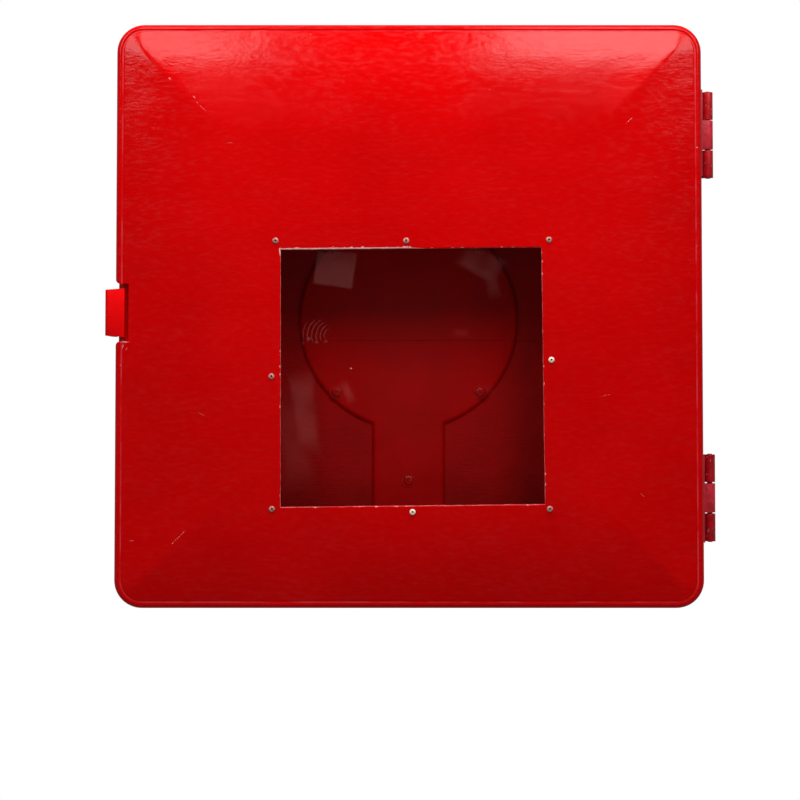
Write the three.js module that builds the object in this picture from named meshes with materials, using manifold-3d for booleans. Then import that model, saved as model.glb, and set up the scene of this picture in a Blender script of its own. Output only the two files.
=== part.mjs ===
// Wall cabinet for life-saving supplies: a glass-fibre tray with a crowned, windowed door.
// Millimetres. The cabinet is drawn lying on its back: +x to the right, +y up the wall,
// +z out of the wall. The exported group turns it upright, so that +Z is up and +Y goes
// into the wall. The origin is the centre of the back face.

import * as THREE from 'three';
import { mergeVertices } from 'three/addons/utils/BufferGeometryUtils.js';
import Module from 'manifold-3d';

const wasm = await Module();
wasm.setup();

// ---------------------------------------------------------------- driving dimensions

const gap = 0.3;                  // air between two pieces that touch on the real cabinet
const laminate = 4.5;             // thickness of the glass-fibre walls

const door = { width: 700, height: 696, corner: 33, rear: 183.6, rim: 222, edgeRadius: 5 };
const crown = { inset: 8, run: 92, rise: 12 };
const plateau = door.rim + crown.rise;

const body = { width: 703, height: 699, corner: 34, depth: 180, backWall: 5 };
const taper = { from: 110, backWidth: 690, backHeight: 686 };
const upstand = { width: 674, height: 670, corner: 20, top: 198 };
const wallHole = { radius: 5.5, x: 285, y: 280 };
const drainHole = { radius: 4, x: 250, z: 40 };

const pad = { radius: 142, stemWidth: 94.5, stemEnd: 318, thickness: 8, edge: 1.5 };
const padFloor = body.backWall + gap;
const padTop = padFloor + pad.thickness;
const padScrewRing = 131;         // distance of the four disc screws from the centre
const stemScrewDrop = 206;        // distance of the stem's screw below the centre
const padScrew = { head: 7, headHeight: 4.5, shank: 3.5, tip: 1.5 };
const padWasher = { radius: 9, thickness: 1.5 };

// The window was cut by hand, so its corners are not quite square.
const windowCorners = [
  [-152, -228],
  [160.5, -224.5],
  [157, 79.5],
  [-152.5, 76.5],
];
const pane = { width: 352, height: 344, corner: 6, x: 3.5, y: -72, thickness: 3 };
const seal = { thickness: 1.5, border: 1.5 };
const rivetPlaces = {
  top_left: [-158.5, 87.5],
  top_middle: [-3.5, 87.5],
  top_right: [166, 88.5],
  left: [-163, -73.5],
  right: [168.5, -54],
  bottom_left: [-162, -230],
  bottom_middle: [4, -233.5],
  bottom_right: [166, -230],
};
const rivet = {
  shank: 1.6, head: 3.5, headHeight: 1.2, mandrel: 0.9, stemDepth: 3, tail: 2.8, tailLength: 3,
};
const rivetWasher = { radius: 4.5, thickness: 1 };
const holeClearance = 0.35;

const hinge = { x: 362.6, z: 182, height: 219.5, length: 104, knuckle: 36, plate: 3, sheet: 2.5 };
const barrel = { radius: 6.5, bore: 3.5, pin: 3.2, pinEnd: 1, pinChamfer: 0.8 };
const leaf = {
  doorEnd: 27, bodyEnd: -40, knuckleGap: 0.5, screwHeight: 35, doorScrewZ: 15, bodyScrewZ: -22,
};

const latch = { x: -360, y: 2.5, z: 150, height: 58, outerHeight: 54, bore: 2.3 };
const latchPin = { radius: 2, head: 3.3, headHeight: 1.4, tail: 1 };
const latchBase = { half: 26, sheet: 2.5, low: -42, high: 6, lugGap: 0.4, lugReach: 10 };
const latchScrew = { height: 16, z: -28, length: 9 };
const clip = {
  outer: -2.6, inner: 4.6, tip: 21, lipUnder: 61.5, top: 71, neck: 15, neckTop: 12, eye: 5.2,
  tipChamfer: 1.5, heelChamfer: 2, flare: 4,
};
const spring = { half: 4.6, inner: 2.4, outer: 4.6 };
const pocket = { height: 68.5, floor: 211, inner: -334, channel: -345.5, mouthRadius: 4 };

const screw = { shank: 2, head: 4, headHeight: 2.2, leafLength: 8.5 };
const cutMargin = 5;              // how far a cutting tool runs past the face it cuts through

const rodSegments = 16;           // sides of a rod, pin or hole
const turnedSegments = 12;        // sides of a small turned piece
const cornerSegments = 4;         // each rounded corner has twice as many

// ---------------------------------------------------------------- finishes

const finishes = {
  gelCoat: { color: 0xc4060c, roughness: 0.3, metalness: 0 },
  doorGelCoat: { color: 0xc8060c, roughness: 0.28, metalness: 0 },
  padGelCoat: { color: 0xa8060c, roughness: 0.4, metalness: 0 },
  acrylic: { color: 0xe8ecee, roughness: 0.05, metalness: 0, transparent: true, opacity: 0.25 },
  rubber: { color: 0x151515, roughness: 0.8, metalness: 0 },
  aluminium: { color: 0xd8c8b4, roughness: 0.4, metalness: 1 },
  zincSteel: { color: 0xa8a8a4, roughness: 0.35, metalness: 1 },
  paintedSteel: { color: 0xb80c1c, roughness: 0.4, metalness: 0 },
  paintedScrew: { color: 0xa8060c, roughness: 0.4, metalness: 0 },
  nylon: { color: 0xe41008, roughness: 0.35, metalness: 0 },
};

function piece(name, geometry, finish) {
  const mesh = new THREE.Mesh(geometry, new THREE.MeshStandardMaterial(finishes[finish]));
  mesh.name = name;
  return mesh;
}

// ---------------------------------------------------------------- joining and cutting

function solid(geometry) {
  const bare = geometry.clone();
  bare.deleteAttribute('normal');
  bare.deleteAttribute('uv');
  const merged = mergeVertices(bare, 1e-4);
  return new wasm.Manifold(new wasm.Mesh({
    numProp: 3,
    vertProperties: new Float32Array(merged.attributes.position.array),
    triVerts: new Uint32Array(merged.index.array),
  }));
}

function geometryOf(manifold) {
  const mesh = manifold.getMesh();
  const geometry = new THREE.BufferGeometry();
  geometry.setAttribute('position', new THREE.BufferAttribute(mesh.vertProperties, 3));
  geometry.setIndex(new THREE.BufferAttribute(mesh.triVerts, 1));
  geometry.computeVertexNormals();
  return geometry;
}

// ---------------------------------------------------------------- basic shapes

function roundedRect(width, height, radius) {
  const x = width / 2 - radius;
  const y = height / 2 - radius;
  const shape = new THREE.Shape();
  shape.absarc(x, y, radius, 0, Math.PI / 2);
  shape.absarc(-x, y, radius, Math.PI / 2, Math.PI);
  shape.absarc(-x, -y, radius, Math.PI, 1.5 * Math.PI);
  shape.absarc(x, -y, radius, 1.5 * Math.PI, 2 * Math.PI);
  return shape;
}

function polygon(points) {
  return new THREE.Shape(points.map(([x, y]) => new THREE.Vector2(x, y)));
}

// A flat outline given thickness from z = low to z = high.
function slab(shape, low, high) {
  const geometry = new THREE.ExtrudeGeometry(shape, {
    depth: high - low,
    bevelEnabled: false,
    curveSegments: cornerSegments,
  });
  return geometry.translate(0, 0, low);
}

// The same, with both edges rounded inwards by radius.
function softSlab(shape, low, high, radius, segments) {
  const geometry = new THREE.ExtrudeGeometry(shape, {
    depth: high - low - 2 * radius,
    bevelThickness: radius,
    bevelSize: radius,
    bevelOffset: -radius,
    bevelSegments: segments,
    curveSegments: cornerSegments,
  });
  return geometry.translate(0, 0, low + radius);
}

// A slab whose low face is shrunk, as the draft of a moulding needs.
function draftedSlab(width, height, corner, lowWidth, lowHeight, low, high) {
  const geometry = slab(roundedRect(width, height, corner), low, high);
  const points = geometry.attributes.position;
  const middle = (low + high) / 2;
  for (let i = 0; i < points.count; i += 1) {
    if (points.getZ(i) < middle) {
      points.setX(i, points.getX(i) * lowWidth / width);
      points.setY(i, points.getY(i) * lowHeight / height);
    }
  }
  return geometry;
}

function block(xLow, xHigh, yLow, yHigh, zLow, zHigh) {
  const geometry = new THREE.BoxGeometry(xHigh - xLow, yHigh - yLow, zHigh - zLow);
  return geometry.translate((xLow + xHigh) / 2, (yLow + yHigh) / 2, (zLow + zHigh) / 2);
}

// A cylinder standing on the y axis, from y = low to y = high.
function rod(radius, low, high) {
  const geometry = new THREE.CylinderGeometry(radius, radius, high - low, rodSegments);
  return geometry.translate(0, (low + high) / 2, 0);
}

// A piece turned around the y axis: the profile's points are [radius, height], top to bottom.
function turned(profile) {
  const points = profile.map(([radius, height]) => new THREE.Vector2(radius, height));
  return new THREE.LatheGeometry(points.reverse(), turnedSegments);
}

// Turns a piece made on the y axis so that its top points out of the wall.
const pointOut = (geometry) => geometry.rotateX(Math.PI / 2);

// Turns a piece made on the y axis so that its top points right (side 1) or left (side -1).
const pointSideways = (geometry, side) => geometry.rotateZ(-side * Math.PI / 2);

function washer(outer, inner, thickness) {
  const shape = new THREE.Shape();
  shape.absarc(0, 0, outer, 0, 2 * Math.PI);
  const hole = new THREE.Path();
  hole.absarc(0, 0, inner, 0, 2 * Math.PI);
  shape.holes.push(hole);
  return new THREE.ExtrudeGeometry(shape, {
    depth: thickness,
    bevelEnabled: false,
    curveSegments: turnedSegments / 2,
  });
}

// The outline with one hole in it, given as a list of points.
function withHole(outline, points) {
  outline.holes.push(new THREE.Path(points));
  return outline;
}

// ---------------------------------------------------------------- screws and rivets

// Countersunk screw. Its flat top is at y = 0 and it points down the y axis.
function countersunkProfile(length, grow) {
  const cone = screw.head - screw.shank;
  return [
    [0, 0],
    [screw.head + grow, 0],
    [screw.shank + grow, -cone],
    [screw.shank + grow, -length],
    [0, -length],
  ];
}

const countersunkScrew = (length) => turned(countersunkProfile(length, 0));

// The hole that a countersunk screw sits in, open above the screw's top.
function countersunkHole(length) {
  const profile = countersunkProfile(length + 2, gap);
  profile.splice(0, 1, [0, 1], [screw.head + gap, 1]);
  return turned(profile);
}

// Pan-head screw. The underside of its head is at y = 0 and its shank points down.
function panScrew(head, headHeight, shank, length) {
  return turned([
    [0, headHeight],
    [head * 0.55, headHeight * 0.9],
    [head * 0.9, headHeight * 0.5],
    [head, 0],
    [shank, 0],
    [shank, -length],
    [0, -length],
  ]);
}

// Blind rivet with its hollow stem seen at the head. The underside of its head is at y = 0.
function blindRivet(grip) {
  return turned([
    [0, -rivet.stemDepth],
    [rivet.mandrel, -rivet.stemDepth],
    [rivet.mandrel, rivet.headHeight - 0.2],
    [rivet.mandrel + 0.6, rivet.headHeight],
    [rivet.head * 0.75, rivet.headHeight * 0.7],
    [rivet.head, 0],
    [rivet.shank, 0],
    [rivet.shank, -grip],
    [rivet.tail, -grip],
    [rivet.tail, -grip - rivet.tailLength + 1],
    [0, -grip - rivet.tailLength],
  ]);
}

// ---------------------------------------------------------------- body

const latchScrewPlaces = [-latchScrew.height, latchScrew.height].map((y) => (
  { y: latch.y + y, z: latch.z + latchScrew.z }
));
const hingeHeights = { upper: hinge.height, lower: -hinge.height };
const leafScrewHeights = [-leaf.screwHeight, leaf.screwHeight];

const padScrewPlaces = { stem: [0, -stemScrewDrop] };
for (const [side, x] of [['left', -1], ['right', 1]]) {
  for (const [level, y] of [['lower', -1], ['upper', 1]]) {
    padScrewPlaces[`${level}_${side}`] = [x * padScrewRing * Math.SQRT1_2, y * padScrewRing * Math.SQRT1_2];
  }
}

// A clearance hole through a side wall, for a screw's shank.
function sideHole(x, y, z) {
  const reach = laminate + 2 * cutMargin;
  return pointSideways(rod(screw.shank + holeClearance, -reach, reach), 1).translate(x, y, z);
}

function bodyShell() {
  const cavityTop = body.depth - laminate;
  const inner = (size) => size - 2 * laminate;
  const straight = slab(roundedRect(body.width, body.height, body.corner), taper.from, body.depth);
  const back = draftedSlab(
    body.width, body.height, body.corner, taper.backWidth, taper.backHeight, 0, taper.from);
  const cavity = slab(
    roundedRect(inner(body.width), inner(body.height), body.corner - laminate), taper.from, cavityTop);
  const backCavity = draftedSlab(
    inner(body.width), inner(body.height), body.corner - laminate,
    inner(taper.backWidth), inner(taper.backHeight), body.backWall, taper.from);
  const collar = slab(roundedRect(upstand.width, upstand.height, upstand.corner), cavityTop, upstand.top);
  const opening = slab(
    roundedRect(inner(upstand.width), inner(upstand.height), upstand.corner - laminate),
    cavityTop - 1, upstand.top + 1);

  let shell = solid(straight).add(solid(back)).add(solid(collar));
  shell = shell.subtract(solid(cavity)).subtract(solid(backCavity)).subtract(solid(opening));

  for (const x of [-wallHole.x, wallHole.x]) {
    for (const y of [-wallHole.y, wallHole.y]) {
      const hole = pointOut(rod(wallHole.radius, -1, body.backWall + 1)).translate(x, y, 0);
      shell = shell.subtract(solid(hole));
    }
  }
  for (const x of [-drainHole.x, drainHole.x]) {
    const bottom = -body.height / 2;
    const hole = rod(drainHole.radius, bottom - cutMargin, bottom + laminate + 2 * cutMargin);
    shell = shell.subtract(solid(hole.translate(x, 0, drainHole.z)));
  }
  for (const [x, y] of Object.values(padScrewPlaces)) {
    const hole = pointOut(rod(padScrew.shank + holeClearance, 1, body.backWall + 1)).translate(x, y, 0);
    shell = shell.subtract(solid(hole));
  }
  for (const { y, z } of latchScrewPlaces) {
    shell = shell.subtract(solid(sideHole(-body.width / 2, y, z)));
  }
  for (const centre of Object.values(hingeHeights)) {
    for (const offset of leafScrewHeights) {
      shell = shell.subtract(solid(sideHole(body.width / 2, centre + offset, hinge.z + leaf.bodyScrewZ)));
    }
  }
  return piece('body_shell', geometryOf(shell), 'gelCoat');
}

function doorGasket() {
  const outline = roundedRect(door.width, door.height, door.corner);
  const clearance = 3.5;
  const hole = roundedRect(
    upstand.width + 2 * clearance, upstand.height + 2 * clearance, upstand.corner + clearance);
  const ring = slab(
    withHole(outline, hole.getPoints(cornerSegments)), body.depth + gap, door.rear - gap);
  return piece('door_gasket', ring, 'rubber');
}

// Keyhole-shaped load pad on the back wall: a disc with a stem running down from it.
function backPad() {
  const half = pad.stemWidth / 2;
  const reach = Math.asin(half / pad.radius);
  const outline = new THREE.Shape();
  outline.moveTo(-half, -pad.stemEnd);
  outline.lineTo(half, -pad.stemEnd);
  outline.absarc(0, 0, pad.radius, -Math.PI / 2 + reach, 1.5 * Math.PI - reach);
  const plate = new THREE.ExtrudeGeometry(outline, {
    depth: pad.thickness - 2 * pad.edge,
    bevelThickness: pad.edge,
    bevelSize: pad.edge,
    bevelOffset: -pad.edge,
    bevelSegments: 1,
    curveSegments: 5 * cornerSegments,
  });
  let keyhole = solid(plate.translate(0, 0, padFloor + pad.edge));
  for (const [x, y] of Object.values(padScrewPlaces)) {
    const hole = pointOut(rod(padScrew.shank + holeClearance, padFloor - 1, padTop + 1)).translate(x, y, 0);
    keyhole = keyhole.subtract(solid(hole));
  }
  return piece('back_pad', geometryOf(keyhole), 'padGelCoat');
}

function padFasteners() {
  const group = new THREE.Group();
  const headSeat = padTop + 2 * gap + padWasher.thickness;
  const { head, headHeight, shank, tip } = padScrew;
  for (const [place, [x, y]] of Object.entries(padScrewPlaces)) {
    const flat = washer(padWasher.radius, shank + holeClearance, padWasher.thickness);
    flat.translate(x, y, padTop + gap);
    group.add(piece(`pad_washer_${place}`, flat, 'paintedScrew'));
    const fixing = pointOut(panScrew(head, headHeight, shank, headSeat - tip)).translate(x, y, headSeat);
    group.add(piece(`pad_screw_${place}`, fixing, 'paintedScrew'));
  }
  return group;
}

// ---------------------------------------------------------------- door

// The crown: a plateau with four sloping facets, ending inside the door's rounded rim.
function crownSolid(width, height, lift) {
  const flatWidth = width - 2 * crown.run;
  const flatHeight = height - 2 * crown.run;
  const hip = new THREE.ExtrudeGeometry(roundedRect(flatWidth, flatHeight, 1), {
    depth: 1,
    bevelThickness: crown.rise,
    bevelSize: crown.run,
    bevelSegments: 1,
    curveSegments: 1,
  });
  hip.translate(0, 0, door.rim - 1 + lift);
  const trim = slab(
    roundedRect(width, height, door.corner - crown.inset), door.rear, plateau + cutMargin);
  return solid(hip).intersect(solid(trim));
}

// The latch pocket in the door's left edge: a floor for the clip's lip and a side channel.
function pocketCut() {
  const half = pocket.height / 2;
  const low = latch.y - half;
  const high = latch.y + half;
  const outside = -door.width / 2 - cutMargin;
  const mouth = -door.width / 2;
  const radius = pocket.mouthRadius;
  const outline = new THREE.Shape();
  outline.moveTo(outside, low - radius);
  outline.lineTo(mouth, low - radius);
  outline.absarc(mouth + radius, low - radius, radius, Math.PI, Math.PI / 2, true);
  outline.lineTo(pocket.inner, low);
  outline.lineTo(pocket.inner, high);
  outline.lineTo(mouth + radius, high);
  outline.absarc(mouth + radius, high + radius, radius, 1.5 * Math.PI, Math.PI, true);
  outline.lineTo(outside, high + radius);
  const recess = slab(outline, pocket.floor, plateau + cutMargin);
  const channel = block(outside, pocket.channel, low, high, door.rear - 1, pocket.floor + 1);
  return solid(recess).add(solid(channel));
}

function pocketWalls() {
  const half = pocket.height / 2 + laminate;
  const low = latch.y - half;
  const high = latch.y + half;
  const outside = -door.width / 2;
  const shelf = block(
    outside, pocket.inner + laminate, low, high, pocket.floor - laminate, door.rim + 2);
  const back = block(outside, pocket.channel + laminate, low, high, door.rear, pocket.floor);
  return solid(shelf).add(solid(back));
}

function doorShell() {
  const inside = (size) => size - 2 * laminate;
  const skirtTop = door.rim - door.edgeRadius;
  const outline = () => roundedRect(door.width, door.height, door.corner);
  const outer = solid(slab(outline(), door.rear, skirtTop))
    .add(solid(softSlab(outline(), door.rear + laminate, door.rim, door.edgeRadius, 2)))
    .add(crownSolid(door.width - 2 * crown.inset, door.height - 2 * crown.inset, 0));
  const hollow = solid(slab(
    roundedRect(inside(door.width), inside(door.height), door.corner - laminate),
    door.rear - 1, door.rim - laminate))
    .add(crownSolid(door.width - 2 * crown.inset - laminate,
      door.height - 2 * crown.inset - laminate, -laminate));

  let shell = outer.subtract(hollow);
  shell = shell.add(pocketWalls().intersect(outer)).subtract(pocketCut());
  shell = shell.subtract(solid(slab(polygon(windowCorners), door.rear, plateau + cutMargin)));
  for (const [x, y] of Object.values(rivetPlaces)) {
    const hole = pointOut(rod(rivet.shank + holeClearance, door.rear, plateau + cutMargin));
    shell = shell.subtract(solid(hole.translate(x, y, 0)));
  }
  for (const centre of Object.values(hingeHeights)) {
    for (const offset of leafScrewHeights) {
      shell = shell.subtract(solid(sideHole(door.width / 2, centre + offset, hinge.z + leaf.doorScrewZ)));
    }
  }
  return piece('door_shell', geometryOf(shell), 'doorGelCoat');
}

function windowParts() {
  const sealTop = plateau - laminate - gap;
  const paneTop = sealTop - seal.thickness - gap;
  const washerTop = paneTop - pane.thickness - gap;
  const washerLow = washerTop - rivetWasher.thickness;
  const group = new THREE.Group();

  const opening = windowCorners.map(([x, y]) => new THREE.Vector2(
    x + Math.sign(x) * seal.border - pane.x,
    y + Math.sign(y) * seal.border - pane.y,
  ));
  const strip = withHole(roundedRect(pane.width, pane.height, pane.corner), opening);
  let sealing = solid(slab(strip, sealTop - seal.thickness, sealTop).translate(pane.x, pane.y, 0));
  let glazing = solid(slab(
    roundedRect(pane.width, pane.height, pane.corner), paneTop - pane.thickness, paneTop)
    .translate(pane.x, pane.y, 0));

  for (const [place, [x, y]] of Object.entries(rivetPlaces)) {
    const hole = () => solid(pointOut(rod(rivet.shank + holeClearance, door.rear, plateau))
      .translate(x, y, 0));
    sealing = sealing.subtract(hole());
    glazing = glazing.subtract(hole());
    const backing = washer(rivetWasher.radius, rivet.shank + holeClearance, rivetWasher.thickness);
    backing.translate(x, y, washerLow);
    group.add(piece(`rivet_washer_${place}`, backing, 'aluminium'));
    const grip = plateau + gap - (washerLow - gap);
    const fixing = pointOut(blindRivet(grip)).translate(x, y, plateau + gap);
    group.add(piece(`window_rivet_${place}`, fixing, 'aluminium'));
  }
  group.add(piece('window_seal', geometryOf(sealing), 'rubber'));
  group.add(piece('window_pane', geometryOf(glazing), 'acrylic'));
  return group;
}

// ---------------------------------------------------------------- hinges

// Both leaves are drawn around the pin: y runs along it, and the cabinet is towards -x.
function hingeAssembly(level) {
  const half = hinge.length / 2;
  const halfKnuckle = hinge.knuckle / 2;
  const outerKnuckle = halfKnuckle + leaf.knuckleGap;
  const doorFace = door.width / 2 + gap - hinge.x;
  const bodyFace = body.width / 2 + gap - hinge.x;
  const tab = barrel.radius - hinge.plate;
  const bore = solid(rod(barrel.bore, -half - 1, half + 1));

  let doorLeaf = solid(block(doorFace, doorFace + hinge.sheet, -half, half, tab, leaf.doorEnd))
    .add(solid(block(doorFace, 0, -halfKnuckle, halfKnuckle, tab, barrel.radius)))
    .add(solid(rod(barrel.radius, -halfKnuckle, halfKnuckle)))
    .subtract(bore);

  let bodyLeaf = solid(block(bodyFace, bodyFace + hinge.sheet, -half, half, leaf.bodyEnd, -tab));
  for (const [low, high] of [[-half, -outerKnuckle], [outerKnuckle, half]]) {
    bodyLeaf = bodyLeaf
      .add(solid(block(bodyFace, 0, low, high, -barrel.radius, -tab)))
      .add(solid(rod(barrel.radius, low, high)));
  }
  bodyLeaf = bodyLeaf.subtract(bore);

  const group = new THREE.Group();
  leafScrewHeights.forEach((y, index) => {
    const place = index === 0 ? 'lower' : 'upper';
    const hole = () => pointSideways(countersunkHole(screw.leafLength), 1);
    const fixing = () => pointSideways(countersunkScrew(screw.leafLength), 1);
    const onDoor = [doorFace + hinge.sheet, y, leaf.doorScrewZ];
    const onBody = [bodyFace + hinge.sheet, y, leaf.bodyScrewZ];
    doorLeaf = doorLeaf.subtract(solid(hole().translate(...onDoor)));
    bodyLeaf = bodyLeaf.subtract(solid(hole().translate(...onBody)));
    group.add(piece(`${level}_hinge_door_screw_${place}`, fixing().translate(...onDoor), 'paintedSteel'));
    group.add(piece(`${level}_hinge_body_screw_${place}`, fixing().translate(...onBody), 'paintedSteel'));
  });

  const pinEnd = half + barrel.pinEnd;
  const chamfer = barrel.pinChamfer;
  const pin = turned([
    [0, pinEnd],
    [barrel.pin - chamfer, pinEnd],
    [barrel.pin, pinEnd - chamfer],
    [barrel.pin, chamfer - pinEnd],
    [barrel.pin - chamfer, -pinEnd],
    [0, -pinEnd],
  ]);
  group.add(piece(`${level}_hinge_door_leaf`, geometryOf(doorLeaf), 'paintedSteel'));
  group.add(piece(`${level}_hinge_body_leaf`, geometryOf(bodyLeaf), 'paintedSteel'));
  group.add(piece(`${level}_hinge_pin`, pin, 'paintedSteel'));
  group.position.set(hinge.x, hingeHeights[level], hinge.z);
  return group;
}

// ---------------------------------------------------------------- latch

// Drawn around the latch pin: y runs along it, and the cabinet is towards +x.
function latchClip() {
  const half = latch.height / 2;
  // The clip's side view, drawn as x and -z, so that turning it upright keeps it the right way out.
  const sideView = polygon([
    [clip.outer, 0],
    [clip.inner, 0],
    [clip.inner, -clip.lipUnder],
    [clip.tip, -clip.lipUnder],
    [clip.tip, clip.tipChamfer - clip.top],
    [clip.tip - clip.tipChamfer, -clip.top],
    [clip.outer + clip.heelChamfer, -clip.top],
    [clip.outer, clip.heelChamfer - clip.top],
  ]);
  const frontView = polygon([
    [clip.outer - clip.flare, -latch.outerHeight / 2],
    [clip.tip, -half],
    [clip.tip, half],
    [clip.outer - clip.flare, latch.outerHeight / 2],
  ]);
  const ell = slab(sideView, -half, half).rotateX(-Math.PI / 2);
  const front = slab(frontView, -cutMargin, clip.top + cutMargin);
  const shoulder = (low, high) => solid(block(-clip.tip, clip.tip, low, high, -1, clip.neckTop));
  const springRoom = spring.half + gap;
  const side = clip.eye + 2;
  const springWindow = block(-side, side, -springRoom, springRoom, -side, clip.neckTop - 2);
  const shape = solid(ell)
    .intersect(solid(front))
    .subtract(shoulder(-half - 1, -clip.neck))
    .subtract(shoulder(clip.neck, half + 1))
    .add(solid(rod(clip.eye, -clip.neck, clip.neck)))
    .subtract(solid(springWindow))
    .subtract(solid(rod(latch.bore, -half, half)));
  return piece('latch_clip', geometryOf(shape), 'nylon');
}

// The base plate with its two lugs, and the two screws that hold it to the cabinet's side.
function latchBaseAndScrews(lugLow, lugHigh) {
  const group = new THREE.Group();
  const face = -body.width / 2 - gap - latch.x;
  const top = face - latchBase.sheet;
  const { half, low, high } = latchBase;
  const lug = (from, to) => solid(rod(clip.eye, from, to))
    .add(solid(block(0, top + 1, from, to, -clip.eye, clip.eye)));
  let base = solid(block(top, face, -half, half, low, high))
    .add(lug(-lugHigh, -lugLow))
    .add(lug(lugLow, lugHigh))
    .subtract(solid(rod(latch.bore, -half, half)));
  latchScrewPlaces.forEach(({ y, z }, index) => {
    const place = index === 0 ? 'lower' : 'upper';
    const seat = [top - gap, y - latch.y, z - latch.z];
    const reach = latchBase.sheet + cutMargin;
    const hole = pointSideways(rod(screw.shank + holeClearance, -reach, reach), -1);
    base = base.subtract(solid(hole.translate(...seat)));
    const fixing = panScrew(screw.head, screw.headHeight, screw.shank, latchScrew.length);
    const placed = pointSideways(fixing, -1).translate(...seat);
    group.add(piece(`latch_screw_${place}`, placed, 'zincSteel'));
  });
  group.add(piece('latch_base', geometryOf(base), 'nylon'));
  return group;
}

// Drawn around the latch pin: y runs along it, and the cabinet is towards +x.
function latchAssembly() {
  const lugLow = clip.neck + latchBase.lugGap;
  const lugHigh = clip.neck + latchBase.lugReach;
  const group = latchBaseAndScrews(lugLow, lugHigh);
  group.add(latchClip());

  const pinSeat = lugHigh + gap;
  const pinLow = -lugHigh - latchPin.tail;
  const pin = turned([
    [0, pinSeat + latchPin.headHeight],
    [latchPin.head - 0.3, pinSeat + latchPin.headHeight - 0.2],
    [latchPin.head, pinSeat],
    [latchPin.radius, pinSeat],
    [latchPin.radius, pinLow],
    [0, pinLow],
  ]);
  group.add(piece('latch_pin', pin, 'zincSteel'));

  const coil = turned([
    [spring.inner, spring.half],
    [spring.outer, spring.half],
    [spring.outer, -spring.half],
    [spring.inner, -spring.half],
    [spring.inner, spring.half],
  ]);
  group.add(piece('latch_spring', coil, 'zincSteel'));
  group.position.set(latch.x, latch.y, latch.z);
  return group;
}

// ---------------------------------------------------------------- the cabinet

const cabinet = new THREE.Group();
cabinet.add(bodyShell(), doorGasket(), backPad(), padFasteners());
cabinet.add(doorShell(), windowParts());
cabinet.add(hingeAssembly('upper'), hingeAssembly('lower'));
cabinet.add(latchAssembly());
cabinet.rotation.x = Math.PI / 2;

export default cabinet;
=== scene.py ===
"""Finished surfaces of a glass-fibre wall cabinet for life-saving supplies, built around its frame.

Metres. +X is to the right, -Y is out of the wall and +Z is up. "out" is a distance from the wall.
"""

import math

import bmesh
import bpy
from mathutils import Matrix, Vector, noise


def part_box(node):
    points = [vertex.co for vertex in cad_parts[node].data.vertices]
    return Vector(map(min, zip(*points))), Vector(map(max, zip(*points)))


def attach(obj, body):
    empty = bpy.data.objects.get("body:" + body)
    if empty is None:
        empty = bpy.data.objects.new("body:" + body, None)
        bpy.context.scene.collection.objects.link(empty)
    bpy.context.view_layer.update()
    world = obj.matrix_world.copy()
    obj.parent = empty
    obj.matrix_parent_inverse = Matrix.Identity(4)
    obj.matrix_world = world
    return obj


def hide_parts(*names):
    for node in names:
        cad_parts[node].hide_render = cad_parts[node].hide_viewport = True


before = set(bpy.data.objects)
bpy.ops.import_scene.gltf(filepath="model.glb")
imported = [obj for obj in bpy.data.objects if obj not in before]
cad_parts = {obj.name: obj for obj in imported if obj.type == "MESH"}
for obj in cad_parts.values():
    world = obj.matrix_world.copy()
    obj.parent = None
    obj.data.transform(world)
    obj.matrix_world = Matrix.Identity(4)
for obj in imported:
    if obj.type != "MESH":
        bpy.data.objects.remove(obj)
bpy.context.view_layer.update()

MM = 0.001

# ---------------------------------------------------------------- sizes

door_low, door_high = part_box("door_shell")
body_low, body_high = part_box("body_shell")
pad_low, pad_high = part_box("back_pad")
gasket_low, gasket_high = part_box("door_gasket")

LAMINATE = 4.5 * MM

DOOR_CORNER = 33 * MM
DOOR_REAR = -door_high.y
PLATEAU = -door_low.y
CROWN_RISE = 12 * MM
CROWN_INSET = 8 * MM
CROWN_RUN = 130 * MM
RIM = PLATEAU - CROWN_RISE
EDGE_RADIUS = 5.2 * MM
GROOVE_INSET = 7.6 * MM
GROOVE_DEPTH = 0.28 * MM
GROOVE_SPREAD = 1.0 * MM

WINDOW_CORNERS = [
    Vector((0.157, 0.0795)),
    Vector((-0.1525, 0.0765)),
    Vector((-0.152, -0.228)),
    Vector((0.1605, -0.2245)),
]
WINDOW_SAW_WOBBLE = 0.4 * MM

CLIP_LOW, CLIP_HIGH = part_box("latch_clip")
POCKET_HEIGHT = 68.5 * MM
POCKET_MIDDLE = (CLIP_LOW.z + CLIP_HIGH.z) / 2
POCKET_LOW = POCKET_MIDDLE - POCKET_HEIGHT / 2
POCKET_HIGH = POCKET_MIDDLE + POCKET_HEIGHT / 2
POCKET_FLOOR = RIM - 11 * MM
POCKET_INSET = 16 * MM
CHANNEL_INSET = 4.5 * MM
MOUTH_RADIUS = 6 * MM

BODY_CORNER = 34 * MM
BODY_DEPTH = 180 * MM
BODY_BACK_WALL = 5 * MM
TAPER_FROM = 110 * MM
TAPER_SCALE = 690 / 703
UPSTAND_INSET = 14.5 * MM
UPSTAND_TOP = 198 * MM
WALL_HOLE = {"radius": 5.5 * MM, "x": 285 * MM, "z": 280 * MM}
DRAIN_HOLE = {"radius": 4 * MM, "x": 250 * MM, "out": 40 * MM}
PAD_STEM_HALF = 47.25 * MM
CREASE_HEIGHT = -26 * MM

CUT_MARGIN = 10 * MM

RIVET_PLACES = [
    "top_left", "top_middle", "top_right", "left",
    "right", "bottom_left", "bottom_middle", "bottom_right",
]
PAD_SCREW_PLACES = ["stem", "lower_left", "upper_left", "lower_right", "upper_right"]


# ---------------------------------------------------------------- meshes

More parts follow.
